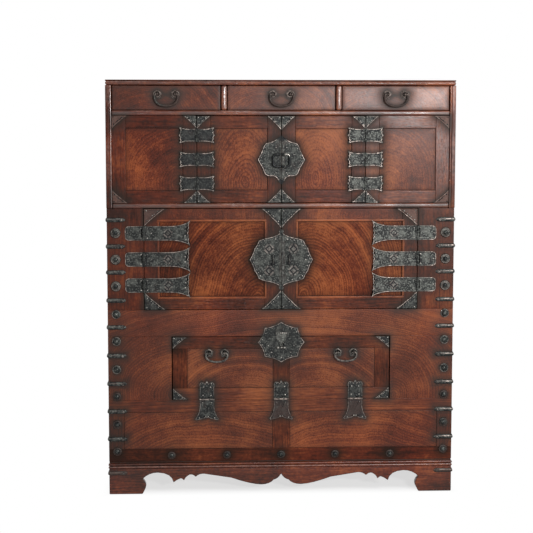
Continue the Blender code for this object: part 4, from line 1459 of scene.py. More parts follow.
def make_upper_lock(half_w, half_h):
    """A lobed plate in two halves, each with half of the pull."""
    upper = traced((1.0, 0.0), ((0.860, 0.27), (0.790, 0.43)), ((0.740, 0.60), (0.660, 0.675)),
                   ((0.580, 0.70), (0.437, 0.735)), ((0.300, 0.77), (0.220, 0.85)),
                   ((0.100, 0.93), (0.0, 1.0)))
    lower = traced((0.0, -1.0), ((0.080, -0.94), (0.130, -0.83)), ((0.200, -0.68), (0.340, -0.655)),
                   ((0.500, -0.66), (0.600, -0.635)), ((0.700, -0.59), (0.740, -0.46)),
                   ((0.800, -0.29), (1.0, 0.0)))
    lobes = upper + [(-x, z) for x, z in reversed((lower + upper)[1:-1])] + lower[:-1]
    whole = [(x * half_w, z * half_h + UPPER_LOCK_Z) for x, z in lobes]
    ring, clear = 0.048, 0.012
    band, band_share = {-1: 0.0065, 1: 0.0125}, 0.80
    tip_share, tip_wear = 0.84, -0.9
    for side, sign in SIDES:
        body = f"upper_door_{side}"
        ironwork = Ironwork()
        verts = ironwork.plate(clipped(whole, 0, sign * SEAM, sign), LEAF_Y, tone=-0.16)
        dull(ironwork, verts, 0, 0.0)
        tips = [vert for vert in verts if abs(vert.co.z - UPPER_LOCK_Z) > tip_share * half_h]
        ironwork.rub(tips, tip_wear)
        centre_band(ironwork, sign, SEAM, band[sign], UPPER_LOCK_Z, band_share * half_h)
        ironwork.finish(f"upper_lock_plate_{side}", body)
        pull = Ironwork()
        make_pull(pull, sign)
        pull.finish(f"upper_lock_pull_{side}", body, metal="domes")
        walked_rivets(body, whole, pitch=0.0125, inset=0.0075, size=0.62,
                      fits=lambda x, z: sign * x > clear)
        for angle in (22.5, 67.5, -22.5, -67.5):
            spot = math.radians(angle)
            rivet(body, sign * ring * math.cos(spot), UPPER_LOCK_Z + ring * math.sin(spot), size=0.7)


def make_pull(ironwork, sign):
    """Half of a rounded loop of heavy wire that stands out of the plate, with its two staples."""
    outer, near, bend, wire = 0.0290, 0.0040, 0.011, 0.0039
    top, bottom = UPPER_LOCK_Z + 0.020, UPPER_LOCK_Z - 0.0225
    front, seat = LEAF_Y - 0.0095, LEAF_Y - 0.001
    staple_x, staple_r, staple_tip = sign * 0.0135, 0.0036, front - 0.003
    lit_x, lit_z, gleam = 0.013, top - 0.004, 1.2
    loop = traced((near, top), (outer - bend, top), ((outer, top), (outer, top - bend)),
                  (outer, bottom + bend), ((outer, bottom), (outer - bend, bottom)), (near, bottom))
    path = [(near, seat, top), *[(x, front, z) for x, z in loop], (near, seat, bottom)]
    ironwork.sweep([(sign * x, y, z) for x, y, z in path], [wire] * len(path), sides=12, wear=-0.9)
    # A painted highlight at the upper right of the right half
    if sign > 0:
        lit = [vert for vert in ironwork.bm.verts if vert.co.x > lit_x and vert.co.z > lit_z]
        ironwork.rub(lit, gleam)
    for z in (top, bottom):
        ironwork.rod((staple_x, LEAF_Y, z), (staple_x, staple_tip, z), staple_r, sides=10, wear=0.4)


def make_middle_lock(half_w, half_h):
    """A plate with finials in two halves, each with a barred pair of eyes and two coin shapes."""
    finial = traced((0.0, 0.107), ((0.012, 0.102), (0.006, 0.095)),
                    ((0.009, 0.089), (0.014, 0.94 * half_h)), steps=3)
    quarter = traced(finial[-1], ((0.030, 0.080), (0.046, 0.077)), ((0.062, 0.075), (0.079, 0.067)),
                     ((0.085, 0.050), (0.094, 0.040)), ((0.098, 0.022), (half_w, 0.0)), steps=4)
    right = both_halves(finial[:-1] + quarter)
    whole = raised(right + [(-x, z) for x, z in reversed(right[1:-1])], MIDDLE_LOCK_Z)
    eye_y, eye_z, eye_r = LEAF_Y - 0.0085, 0.0125, 0.0070
    bar_y, bar_z, bar_r = LEAF_Y - 0.0075, 0.016, 0.0028
    coin_x, coin_z, coin_r = 0.0430, 0.0385, 0.0180
    band, band_share, clear = {-1: 0.0075, 1: 0.013}, 0.92, 0.014
    for side, sign in SIDES:
        body = f"middle_door_{side}"
        eye_x = sign * 0.0285
        ironwork = Ironwork()
        dull(ironwork, ironwork.plate(clipped(whole, 0, sign * SEAM, sign), LEAF_Y), 0, 0.0)
        centre_band(ironwork, sign, SEAM, band[sign], MIDDLE_LOCK_Z, band_share * half_h)
        for up in (-1, 1):
            coin_motif(ironwork, sign * coin_x, MIDDLE_LOCK_Z + up * coin_z, coin_r)
            z = MIDDLE_LOCK_Z + up * eye_z
            ironwork.rod((eye_x, LEAF_Y, z), (eye_x, eye_y, z), eye_r, sides=10, wear=-1.0)
        ends = [(eye_x, bar_y, MIDDLE_LOCK_Z + up * bar_z) for up in (-1, 1)]
        ironwork.rod(*ends, bar_r, sides=10, wear=0.1)
        ironwork.finish(f"middle_lock_plate_{side}", body)
        walked_rivets(body, whole, pitch=0.0135, inset=0.0085, size=0.85,
                      fits=lambda x, z: sign * x > clear)
        for x, z in ((0.086, 0.0), (0.022, 0.072), (0.022, -0.072)):
            rivet(body, sign * x, MIDDLE_LOCK_Z + z, size=1.1)


def make_lower_lock(half_w, half_h):
    """An eight-pointed plate, cut by the seam above the drop front."""
    waist, seam_clear, hasp_clear = 0.868, 0.005, 0.023
    whole = raised(eight_pointed(half_w, half_h, waist), LOWER_LOCK_Z)
    seam = Z_RAIL - 0.001
    for name, body, keep in (("rail", "root", 1), ("drop_front", "drop_front", -1)):
        ironwork = Ironwork()
        half = clipped(whole, 1, seam + keep * 0.5 * SEAM, keep)
        dull(ironwork, ironwork.plate(half, LEAF_Y, tone=-0.30), 2, seam)
        ironwork.finish(f"lower_lock_plate_{name}", body)
        walked_rivets(body, whole, pitch=0.0125, inset=0.0075, size=0.66,
                      fits=lambda x, z: keep * (z - seam) > seam_clear and abs(x) > hasp_clear)
    for x, z in ((0.045, -0.012), (0.0, -0.054), (0.034, -0.036)):
        for sign in both_ways(x):
            rivet("drop_front", sign * x, LOWER_LOCK_Z + z, size=1.0)


# Corner plates
def corner_plate(ironwork, body, x, z, toward, wide, tall, tone=-0.1, rim=1.0, black=False):
    """A three-cornered plate in a corner. Its long side is slightly bowed, rubbed and riveted."""
    tx, tz = toward
    cut, dull_within = 0.84, 0.88
    slope = traced(*scaled(wide, tall, (1.0, 0.0), ((0.72, 0.20), (0.52, 0.44)), ((0.26, 0.66), (0.0, 1.0))),
                   steps=4)
    corner = [(0.0, cut * tall), (0.0, 0.0), (cut * wide, 0.0)]
    verts = ironwork.plate([(x + tx * u, z + tz * v) for u, v in corner + slope], LEAF_Y, tone=tone, rim=rim)
    for vert in verts:
        if abs(vert.co.x - x) / wide + abs(vert.co.z - z) / tall < dull_within:
            vert[ironwork.wear] = min(vert[ironwork.wear], 0.0)
    for u, v, size in ((0.10, 0.10, 0.9), (0.66, 0.14, 0.9), (0.14, 0.66, 0.9), (0.50, 0.30, 0.6),
                       (0.32, 0.48, 0.6), (0.40, 0.38, 0.9)):
        rivet(body, x + tx * u * wide, z + tz * v * tall, size=size, black=black)


def edges_and_levels(node, sign):
    """The inner and the outer edge of a front, and its two levels, each with the way into it."""
    low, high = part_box(node)
    inner, outer = (low.x, high.x) if sign > 0 else (high.x, low.x)
    return inner, outer, ((low.z + SEAM, 1), (high.z - SEAM, -1))


def make_corner_plates():
    """Corner plates on the wings, the doors and the drop front."""
    wing_inner, wing_outer, drop = (0.045, 0.043), (0.052, 0.044), (0.049, 0.040)
    inside, outside = Ironwork(), Ironwork()
    for side, sign in SIDES:
        inner, outer, levels = edges_and_levels(f"wing_{side}", sign)
        for z, up in levels:
            corner_plate(inside, "root", inner + sign * GAP, z, (sign, up), *wing_inner)
            corner_plate(outside, "root", outer - sign * SEAM, z, (-sign, up), *wing_outer,
                         tone=0.0, rim=0.45, black=True)
    inside.finish("wing_inner_corner_plates", "root")
    outside.finish("wing_outer_corner_plates", "root", metal="russet")
    sizes = {"upper": ((0.045, 0.043), (0.047, 0.047)), "middle": ((0.072, 0.060), (0.067, 0.066))}
    for level, (hinged, meeting) in sizes.items():
        for side, sign in SIDES:
            body = f"{level}_door_{side}"
            inner, outer, levels = edges_and_levels(body, sign)
            plates, russet = Ironwork(), Ironwork()
            for z, up in levels:
                corner_plate(plates, body, inner + sign * GAP, z, (sign, up), *meeting)
                brown = level == "middle" and up < 0
                corner_plate(russet if brown else plates, body, outer - sign * GAP, z, (-sign, up), *hinged,
                             tone=0.0 if brown and sign > 0 else -0.25)
            plates.finish(f"{body}_corner_plates", body)
            if level == "middle":
                russet.finish(f"{body}_russet_plates", body, metal="russet")
    plates = Ironwork()
    for _, sign in SIDES:
        _, outer, levels = edges_and_levels("drop_front", sign)
        for z, up in levels:
            corner_plate(plates, "drop_front", outer - sign * (SIDE_GAP + SEAM), z, (-sign, up),
                         *drop, tone=-0.45)
    plates.finish("drop_front_corner_plates", "drop_front")


# Straps and studs of the case
def case_halo(z):
    """How dark the wood is beside a strap or a stud: darker on the lower level."""
    return UPPER_HALO if z > Z_RAIL else LOWER_HALO


def make_corner_straps():
    """Forged straps: a pointed leaf with a ringed nail, drawn out to a bar that wraps the corner."""
    trim = bpy.context.scene.chest_trim
    case, base = Ironwork(), Ironwork()
    levels = [(case, z, FACE_Y) for z in STRAP_LEVELS]
    levels.append((base, BASE_STRAP_LEVEL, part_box("base_stand")[0].y))
    half, ridge, long = trim.strap_width / 2, trim.strap_proud, trim.strap_length
    # The straps on the right get a stronger painted highlight than those on the left
    corner_half, corner_ridge, shine = 0.54 * half, 1.5 * ridge, {-1: 0.35, 1: 1.0}
    nail_share, nail_out, ring, ring_sides = 0.80, 0.0034, 0.0060, 14
    for straps, z, face in levels:
        for sign in (-1, 1):
            edge = sign * (HALF + GAP)
            front, side = [], []
            for part, wide, proud, rub in STRAP_LEAF:
                away = long * (1 - part)
                section = (wide * half, proud * ridge, rub)
                front.append(((edge - sign * away, face - GAP, z), (0, -1, 0), *section))
                side.append(((edge, face + away, z), (sign, 0, 0), *section))
            corner = ((edge, face - GAP, z), (sign, -1, 0), corner_half, corner_ridge, 0.0)
            straps.band([*front, corner, *reversed(side)], shine[sign])
            nail_x = edge - sign * long * nail_share
            straps.plate(circle(nail_x, z, ring, ring_sides), face - GAP, thickness=0.0043, border=0.0013,
                         tone=-0.7, rim=0.55, halo=0.0)
            rivet("root", nail_x, z, face - nail_out)
            x0, x1 = sorted((edge, edge - sign * long))
            HALOS.append(([(x0, z - half), (x1, z - half), (x1, z + half), (x0, z + half)], case_halo(z)))
    case.finish("corner_straps", "root")
    base.finish("base_straps", "root", metal="brown")


def geometry_tree(name, sizes):
    """A Geometry Nodes tree with named inputs, the points, some sizes and the iron, and its output."""
    tree = bpy.data.node_groups.new(name, "GeometryNodeTree")
    tree.interface.new_socket("Points", in_out="INPUT", socket_type="NodeSocketGeometry")
    for label, default in sizes.items():
        socket = tree.interface.new_socket(label, in_out="INPUT", socket_type="NodeSocketFloat")
        socket.default_value = default
    tree.interface.new_socket("Iron", in_out="INPUT", socket_type="NodeSocketMaterial")
    tree.interface.new_socket("Metal", in_out="OUTPUT", socket_type="NodeSocketGeometry")
    start = Signal(tree)
    entry = start.node("NodeGroupInput").socket.node
    given = {socket.name: Signal(tree, socket) for socket in entry.outputs if socket.name}
    return tree, start, given


def rubbed_shape(start, shape, wear):
    """A shape whose points all carry one amount of wear."""
    return start.node("GeometryNodeStoreNamedAttribute", {"Geometry": shape, "Name": "wear", "Value": wear},
                      data_type="FLOAT", domain="POINT")


def finish_tree(start, given, shape):
    """Set a shape on every point at the point's own size, in one mesh and one material."""
    size = start.node("GeometryNodeInputNamedAttribute", {"Name": "size"}, data_type="FLOAT")
    placed = start.node("GeometryNodeInstanceOnPoints",
                        {"Points": given["Points"], "Instance": shape, "Scale": size})
    whole = start.node("GeometryNodeRealizeInstances", {0: placed})
    smooth = start.node("GeometryNodeSetShadeSmooth", {0: whole})
    coated = start.node("GeometryNodeSetMaterial", {"Geometry": smooth, "Material": given["Iron"]})
    start.node("NodeGroupOutput", {0: coated})


def upright(start, shape):
    """A shape turned from the floor to the front."""
    return start.node("GeometryNodeTransform", {"Geometry": shape, "Rotation": (math.pi / 2, 0.0, 0.0)})


def rivet_tree():
    """A flattened ball."""
    tree, start, given = geometry_tree("rivet_heads", {"Radius": 0.0026, "Flatness": 0.62, "Wear": 1.0})
    ball = start.node("GeometryNodeMeshUVSphere", {"Segments": 8, "Rings": 6, "Radius": given["Radius"]})
    scale = start.node("ShaderNodeCombineXYZ", {0: 1.0, 1: given["Flatness"], 2: 1.0})
    head = start.node("GeometryNodeTransform", {"Geometry": upright(start, ball), "Scale": scale})
    finish_tree(start, given, rubbed_shape(start, head, given["Wear"]))
    return tree


def washer_tree():
    """A dished washer with a rolled rim. Sizes are shares of its radius."""
    tree, start, given = geometry_tree("washers", {"Height": 0.10, "Rim place": 0.80, "Rim": 0.085,
                                                   "Dish wear": -0.55, "Rim wear": 0.75})
    dish = start.node("GeometryNodeMeshCone",
                      {"Vertices": 28, "Radius Top": 0.86, "Radius Bottom": 1.0, "Depth": given["Height"]})
    ring, section = (start.node("GeometryNodeCurvePrimitiveCircle",
                                {"Resolution": sides, "Radius": given[label]})
                     for sides, label in ((28, "Rim place"), (6, "Rim")))
    rim = start.node("GeometryNodeCurveToMesh", {"Curve": ring, "Profile Curve": section})
    lift = start.node("ShaderNodeCombineXYZ", {2: given["Height"]})
    rim = start.node("GeometryNodeTransform", {"Geometry": rim, "Translation": lift})
    both = start.node("GeometryNodeJoinGeometry")
    for shape, wear in ((dish, given["Dish wear"]), (rim, given["Rim wear"])):
        part = rubbed_shape(start, upright(start, shape), wear)
        tree.links.new(part.socket, both.socket.node.inputs[0])
    finish_tree(start, given, both)
    return tree


def nail_tree():
    """A domed nail head. Sizes are shares of its washer's radius."""
    tree, start, given = geometry_tree("nails", {"Width": 0.40, "Height": 0.42, "Wear": -0.25})
    ball = start.node("GeometryNodeMeshUVSphere", {"Segments": 16, "Rings": 12, "Radius": 1.0})
    scale = start.node("ShaderNodeCombineXYZ", {0: given["Width"], 1: given["Width"], 2: given["Height"]})
    dome = start.node("GeometryNodeTransform", {"Geometry": ball, "Scale": scale})
    finish_tree(start, given, rubbed_shape(start, upright(start, dome), given["Wear"]))
    return tree


def grown(name, tree, values, places, body):
    """A piece that a tree grows on points, as one plain mesh on one body."""
    mesh = bpy.data.meshes.new(name)
    mesh.from_pydata([place for place, _ in places], [], [])
    sizes = mesh.attributes.new("size", "FLOAT", "POINT")
    sizes.data.foreach_set("value", [size for _, size in places])
    piece = bpy.data.objects.new(name, mesh)
    bpy.context.scene.collection.objects.link(piece)
    modifier = piece.modifiers.new(name, "NODES")
    modifier.node_group = tree
    for item in tree.interface.items_tree:
        if item.in_out == "INPUT" and item.name in values:
            modifier[item.identifier] = values[item.name]
    made = bpy.data.meshes.new_from_object(piece.evaluated_get(bpy.context.evaluated_depsgraph_get()))
    piece.modifiers.remove(modifier)
    piece.data = made
    made.name = name
    bpy.data.meshes.remove(mesh)
    settle(piece, body, "dark_iron")


def make_studs():
    """Washers and domed nails in three ranks from the top: ringed, bold and plain."""
    trim = bpy.context.scene.chest_trim
    ringed, bold, plain = [], [], []
    for index, z in enumerate(STUD_LEVELS):
        rank, radius = (ringed, trim.large_stud) if index < LARGE_STUDS else (bold, trim.small_stud)
        if index >= 2 * LARGE_STUDS:
            rank = plain
        rank += [((sign * STUD_X, FACE_Y - GAP, z), radius) for sign in (-1, 1)]
    plain += [((x, FACE_Y - GAP, RAIL_STUD_Z), 0.9 * trim.small_stud) for x in RAIL_STUD_X]
    for (x, _, z), radius in ringed + bold + plain:
        HALOS.append((circle(x, z, radius, 12), case_halo(z)))
    places = {"ringed": ringed, "bold": bold, "plain": plain}
    dull_rim = {"Rim place": 0.88, "Rim": 0.05, "Rim wear": 0.05, "Dish wear": -0.35}
    washers = {"ringed": ("iron", {"Dish wear": 0.22, "Rim wear": 0.55}),
               "bold": ("iron", {**dull_rim, "Rim": 0.07, "Rim wear": 0.6}),
               "plain": ("brown", dull_rim)}
    nails = {"ringed": ("domes", {"Width": 0.46, "Wear": -0.45}),
             "bold": ("domes", {"Width": 0.60, "Height": 0.56, "Wear": -0.05}),
             "plain": ("domes", {"Width": 0.62, "Height": 0.55, "Wear": -0.25})}
    for kind, tree, looks in (("washers", washer_tree(), washers), ("nails", nail_tree(), nails)):
        for rank, (metal, values) in looks.items():
            grown(f"{rank}_{kind}", tree, {"Iron": FINISH[metal], **values}, places[rank], "root")


def make_rivets():
    iron = bpy.context.scene.chest_iron
    tree = rivet_tree()
    values = {"Radius": iron.rivet, "Flatness": 0.62, "Iron": FINISH["nails"]}
    for (body, black), places in RIVETS.items():
        values["Wear"] = -0.8 if black else 1.0
        grown(f"{body}_black_rivets" if black else f"{body}_rivets", tree, values, places, body)


# Bails
def rosette(ironwork, x, z, radius, outside, shine):
    """Five rounded leaves behind an eye, with a curl that opens to the outside."""
    leaves, droop, inner = 5, 0.16, 0.70 * radius
    points = []
    for i in range(leaves):
        angle = math.pi / 2 + i * 2 * math.pi / leaves
        half = math.pi / leaves
        for t in (-0.8, -0.4, 0.0, 0.4, 0.8):
            reach = radius * (1.0 - droop * t * t)
            points.append((x + reach * math.cos(angle + t * half), z + reach * math.sin(angle + t * half)))
        dip = angle + half
        points.append((x + inner * math.cos(dip), z + inner * math.sin(dip)))
    ironwork.plate(points, LEAF_Y, tone=-0.5, rim=0.5 * shine)
    curl, radii = [], []
    last, curl_from, curl_sweep, curl_y = 18, 215, 430, LEAF_Y - 0.0028
    curl_wide, curl_in, wire, swell = 0.92, 0.58, 0.0017, 0.0006
    for i in range(last + 1):
        turn = i / last
        angle = math.radians(curl_from - curl_sweep * turn)
        reach = radius * (curl_wide - curl_in * turn)
        curl.append((x + outside * reach * math.cos(angle), curl_y, z + reach * math.sin(angle)))
        radii.append(wire + swell * math.sin(math.pi * i / last))
    ironwork.sweep(curl, radii, sides=8, wear=shine)


def bail_path(spacing, width, drop):
    """Half of a bail, from the end inside its eye, over a curl and down to the middle of the bow."""
    inner, shoulder = spacing / 2 - 0.006, spacing / 2 + 0.004
    arm = width / 2 - 0.0033
    bow = scaled(arm, -drop, ((1.0, 0.0), (1.0, 0.25)), ((1.0, 0.62), (0.66, 0.86)),
                 ((0.36, 1.0), (0.0, 1.0)))
    return traced((inner, 0.0), (shoulder, 0.0), *bow, steps=8)


def make_bail(node, carrier, spacing):
    """A bail with its two eyes and rosettes."""
    trim = bpy.context.scene.chest_trim
    radius = bpy.context.scene.chest_iron.bail
    on_drawer = carrier.startswith("drawer")
    metal, shade, wear = ("brown", 1.0, -0.15) if on_drawer else ("iron", 0.35, 0.35)
    eye, wire, thin, swell = 0.0052, 0.0013, 0.62, 0.38
    knob_out, knob_half = 0.0065, 0.002
    stem_r, stem_foot, stem_gap = 0.0022, LEAF_Y + 0.002, 0.0046
    low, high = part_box(node)
    x, axis_y, z = PIVOTS[f"{node}_swing"]
    half = bail_path(spacing, high.x - low.x, z - low.z - radius)
    points = [(-u, v) for u, v in half] + half[-2::-1]
    count = len(points) - 1
    radii = [radius * (thin + swell * math.sin(math.pi * i / count)) for i in range(count + 1)]
    HALOS.append(([(x + u, z + v) for u, v in points], shade))
    bow, eyes = Ironwork(), Ironwork()
    bow.sweep([(x + u, axis_y, z + v) for u, v in points], radii, sides=12, wear=wear)
    for sign in (-1, 1):
        end = x + sign * (spacing / 2 + knob_out)
        bow.rod((end - knob_half, axis_y, z), (end + knob_half, axis_y, z), radius, sides=12, wear=0.7)
        middle = x + sign * spacing / 2
        rosette(eyes, middle, z, trim.rosette, -sign, 0.6)
        turns = [math.pi * i / 8 for i in range(-4, 13)]
        ring = [(middle, axis_y + eye * math.cos(turn), z + eye * math.sin(turn)) for turn in turns]
        eyes.sweep(ring, [wire] * len(ring), sides=8, wear=0.6)
        eyes.rod((middle, stem_foot, z), (middle, axis_y + stem_gap, z), stem_r, sides=8, wear=0.3)
    bow.finish(f"{node}_iron", node, node, metal=metal)
    eyes.finish(f"{node}_eyes", carrier, metal=metal)


def make_bails():
    for bay in BAYS:
        make_bail(f"drawer_bail_{bay}", f"drawer_{bay}", spacing=0.061)
    for side, _ in SIDES:
        make_bail(f"drop_front_bail_{side}", "drop_front", spacing=0.054)


# Hasp
def barrel_bead(ironwork, near, far, y, z):
    """One round knuckle of the hasp's barrel, along x."""
    start, sweep, steps = 0.12, 0.76, 8
    turns = [math.pi * (start + sweep * i / steps) for i in range(steps + 1)]
    middle, half = (near + far) / 2, (far - near) / 2
    path = [(middle - half * math.cos(turn), y, z) for turn in turns]
    ironwork.sweep(path, [BARREL_R * math.sin(turn) for turn in turns], sides=14, wear=0.7)


def make_hasp():
    """A shield on a barrel of three knuckles, two of them on the drop front, and the staple it meets."""
    _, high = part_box("hasp")
    _, axis_y, axis_z = PIVOTS["hasp_hinge"]
    half = high.x
    tall = HASP_SHARE * (high.z - axis_z)
    back, clear, plate_t = FACE_Y - 0.0028, 0.0002, 0.0026
    neck, neck_tall, knuckle = 0.0040, 0.0060, 0.0055
    nails, row_share, row_level, nail_size = 6, 1.66, 0.92, 1.05
    outer_knuckle, foot_r, pin_half, pin_r = (0.0062, 0.0172), 0.0026, 0.0145, 0.0014
    edge = scaled(half, tall, ((0.30, 0.30), (0.66, 0.42)), ((0.92, 0.54), (0.90, 0.80)),
                  (1.0, 0.84), (1.0, 1.0), (0.0, 1.0))
    right = traced((neck, 0.0), (neck, neck_tall), *edge)
    shield = raised(right + [(-x, z) for x, z in reversed(right[:-1])], axis_z)
    hasp = Ironwork()
    hasp.plate(shield, back - clear, thickness=plate_t, border=0.0014, tone=0.10, rim=0.25, halo=0.0)
    hasp.finish("hasp_iron", "hasp", "hasp", metal="hazy")
    barrel = Ironwork()
    barrel_bead(barrel, -knuckle, knuckle, axis_y, axis_z)
    barrel.finish("hasp_barrel", "hasp", metal="nails")
    for i in range(nails):
        x = (i / (nails - 1) - 0.5) * row_share * half
        rivet("hasp", x, axis_z + row_level * tall, back - plate_t, nail_size)
    carrier = Ironwork()
    for sign in (-1, 1):
        barrel_bead(carrier, *spread(sign, *outer_knuckle), axis_y, axis_z)
        foot_x = sign * 0.0115
        carrier.rod((foot_x, axis_y, axis_z), (foot_x, LEAF_Y, axis_z), foot_r, sides=8, wear=-0.6)
    carrier.rod((-pin_half, axis_y, axis_z), (pin_half, axis_y, axis_z), pin_r, sides=8, wear=-0.8)
    carrier.finish("hasp_knuckles", "drop_front", metal="nails")
    wire, bend, round_off = 0.0014, 0.0018, 0.002
    staple_z = axis_z + 0.048
    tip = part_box("lower_top_rail")[0].y
    turn = tip + round_off
    path = [(LEAF_Y, bend), (turn, bend), (tip, 0.0), (turn, -bend), (LEAF_Y, -bend)]
    staple = Ironwork()
    staple.sweep([(0.0, y, staple_z + up) for y, up in path], [wire] * len(path), sides=8, wear=0.7)
    staple.finish("hasp_staple", "root")


# Grime and painted shade
def to_outline(points, outline):
    """Distance from each of many points to the nearest edge of an outline."""
    best = np.full(len(points), np.inf)
    ring = np.array(outline)
    for a, b in zip(ring, np.roll(ring, -1, axis=0)):
        run = b - a
        share_along = np.clip((points - a) @ run / max(run @ run, TINY), 0.0, 1.0)
        best = np.minimum(best, np.linalg.norm(points - a - share_along[:, None] * run, axis=1))
    return best


def soil(values, where, grime):
    """Add grime and painted shade where the wood is pale, and keep the darker of old and new elsewhere."""
    old = values[where]
    values[where] = np.where(old < 0.0, old + grime, np.maximum(old, grime))


def age_wood():
    """Darken the fronts with grime beside every plate, strap and stud, and with painted shade along their
    outer edges.
    """
    for piece in WOOD_PIECES:
        mesh = piece.data
        flat = np.empty(3 * len(mesh.vertices), np.float32)
        mesh.vertices.foreach_get("co", flat)
        places = flat.reshape(-1, 3)
        values = np.empty(len(places), np.float32)
        mesh.attributes["grime"].data.foreach_get("value", values)
        front = places[:, 1] < FACE_Y + FRONT_DEPTH
        seen_flat = places[:, (0, 2)]
        for outline, depth in HALOS:
            ring = np.array(outline)
            low, high = ring.min(axis=0) - HALO_SPAN, ring.max(axis=0) + HALO_SPAN
            near = front & np.all((seen_flat > low) & (seen_flat < high), axis=1)
            if near.any():
                away = to_outline(seen_flat[near], outline)
                soil(values, near, HALO_DEPTH * depth * np.exp(-(away / HALO_REACH) ** HALO_FALL))
        # Painted shade along the outer edges of the fronts
        outer = HALF - np.abs(places[:, 0])
        soil(values, front, np.exp(-outer[front] / OUTER_SHADE_REACH))
        mesh.attributes["grime"].data.foreach_set("value", values)


# Stage
WHITE = (1.0, 1.0, 1.0, 1.0)


def aim(thing, target):
    thing.rotation_euler = (Vector(target) - thing.location).to_track_quat("-Z", "Y").to_euler()


def add_lamp(name, place, target, power, wide, tall):
    data = bpy.data.lights.new(name, "AREA")
    data.energy = power
    data.shape = "ELLIPSE"
    data.size = wide
    data.size_y = tall
    lamp = bpy.data.objects.new(name, data)
    lamp.location = place
    aim(lamp, target)
    bpy.context.scene.collection.objects.link(lamp)


def seen(start):
    """1 for rays that show the background itself, 0 for those that carry its light."""
    path = start.node("ShaderNodeLightPath").socket.node.outputs
    names = ("Is Camera Ray", "Is Glossy Ray", "Is Transmission Ray")
    rays = [Signal(start.tree, path[name]) for name in names]
    return rays[0].math("MAXIMUM", rays[1]).math("MAXIMUM", rays[2])


def make_sky(stage):
    world = bpy.data.worlds.new("studio")
    world.use_nodes = True
    start = Signal(world.node_tree)
    background = world.node_tree.nodes["Background"]
    background.inputs["Color"].default_value = WHITE
    strength = stage.sky + seen(start) * (1.0 - stage.sky)
    world.node_tree.links.new(strength.socket, background.inputs["Strength"])
    bpy.context.scene.world = world


def make_floor(stage):
    """A pale floor that keeps the chest's shade and runs out into white."""
    bm = bmesh.new()
    bmesh.ops.create_circle(bm, cap_ends=True, segments=64, radius=14.0)
    floor = new_piece("studio_floor", bm, [])
    material = bpy.data.materials.new("studio_floor")
    material.use_nodes = True
    tree = material.node_tree
    tree.nodes.remove(tree.nodes["Principled BSDF"])
    start = Signal(tree)
    place = start.node("ShaderNodeTexCoord", output=OBJECT_PLACE)
    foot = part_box("base_stand")
    x, y, _ = place.parts()
    beside = x.math("ABSOLUTE") - foot[1].x
    before = y.math("ABSOLUTE") + foot[0].y
    shaded_to, lit_from = -0.085, 0.035
    far = beside.math("MAXIMUM", before).ease(shaded_to, lit_from)
    matte = start.node("ShaderNodeBsdfDiffuse", {"Color": solid(stage.floor)})
    glow = start.node("ShaderNodeEmission", {"Color": WHITE})
    amount = seen(start) * (stage.floor_glow + far * (1.0 - stage.floor_glow))
    both = start.node("ShaderNodeMixShader", {0: amount, 1: matte, 2: glow})
    tree.links.new(both.socket, tree.nodes["Material Output"].inputs["Surface"])
    floor.data.materials.append(material)
    floor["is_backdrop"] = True


def make_stage():
    scene = bpy.context.scene
    stage = scene.chest_stage
    scene.view_settings.view_transform = "Standard"
    data = bpy.data.cameras.new("camera")
    data.lens = stage.lens
    camera = bpy.data.objects.new("camera", data)
    camera.location = stage.eye
    camera.rotation_euler = (math.pi / 2 - stage.pitch, 0.0, -stage.yaw)
    scene.collection.objects.link(camera)
    scene.camera = camera
    make_sky(stage)
    make_floor(stage)
    add_lamp("key_lamp", (1.8, -2.0, 2.2), (0.3, FACE_Y, 1.0), stage.key, 1.0, 1.0)
    add_lamp("fill_lamp", (-1.6, 2.8, 2.3), (0.0, BACK_Y, 0.8), stage.fill, 1.6, 1.6)
    add_lamp("gloss_lamp", (1.27, -4.6, 1.70), (0.2, FACE_Y, 1.1), stage.gloss, 0.9, 0.12)


# Operators
class CHEST_OT_stage(Operator):
    """Camera, lamps, sky and floor"""

    bl_idname = "chest.stage"
    bl_label = "Stage"

    def execute(self, context):
        make_stage()
        return {"FINISHED"}


class CHEST_OT_finishes(Operator):
    """Wood and iron materials"""

    bl_idname = "chest.finishes"
    bl_label = "Finishes"

    def execute(self, context):
        make_finishes()
        return {"FINISHED"}


class CHEST_OT_case(Operator):
    """Sides, posts and proud boards"""

    bl_idname = "chest.case"
    bl_label = "Case"

    def execute(self, context):
        make_case()
        return {"FINISHED"}


class CHEST_OT_base(Operator):
    """Scalloped stand and beaded moulding"""

    bl_idname = "chest.base"
    bl_label = "Base"

    def execute(self, context):
        make_base()
        return {"FINISHED"}


class CHEST_OT_fronts(Operator):
    """Wings, stiles, rail, cheeks and lower front"""

    bl_idname = "chest.fronts"
    bl_label = "Fixed fronts"

    def execute(self, context):
        make_fronts()
        return {"FINISHED"}


class CHEST_OT_drawers(Operator):
    """Drawer fronts and boxes"""

    bl_idname = "chest.drawers"
    bl_label = "Drawers"

    def execute(self, context):
        make_drawers()
        return {"FINISHED"}


class CHEST_OT_upper_doors(Operator):
    """Framed doors of the upper level"""

    bl_idname = "chest.upper_doors"
    bl_label = "Upper doors"

    def execute(self, context):
        make_upper_doors()
        return {"FINISHED"}


class CHEST_OT_middle_doors(Operator):
    """Framed doors of the middle level"""

    bl_idname = "chest.middle_doors"
    bl_label = "Middle doors"

    def execute(self, context):
        make_middle_doors()
        return {"FINISHED"}


class CHEST_OT_drop_front(Operator):
    """The front that folds down"""

    bl_idname = "chest.drop_front"
    bl_label = "Drop front"

    def execute(self, context):
        make_drop_front()
        return {"FINISHED"}


class CHEST_OT_upper_hinges(Operator):
    """Butterfly hinges"""

    bl_idname = "chest.upper_hinges"
    bl_label = "Upper hinges"

    def execute(self, context):
        make_upper_hinges()
        return {"FINISHED"}


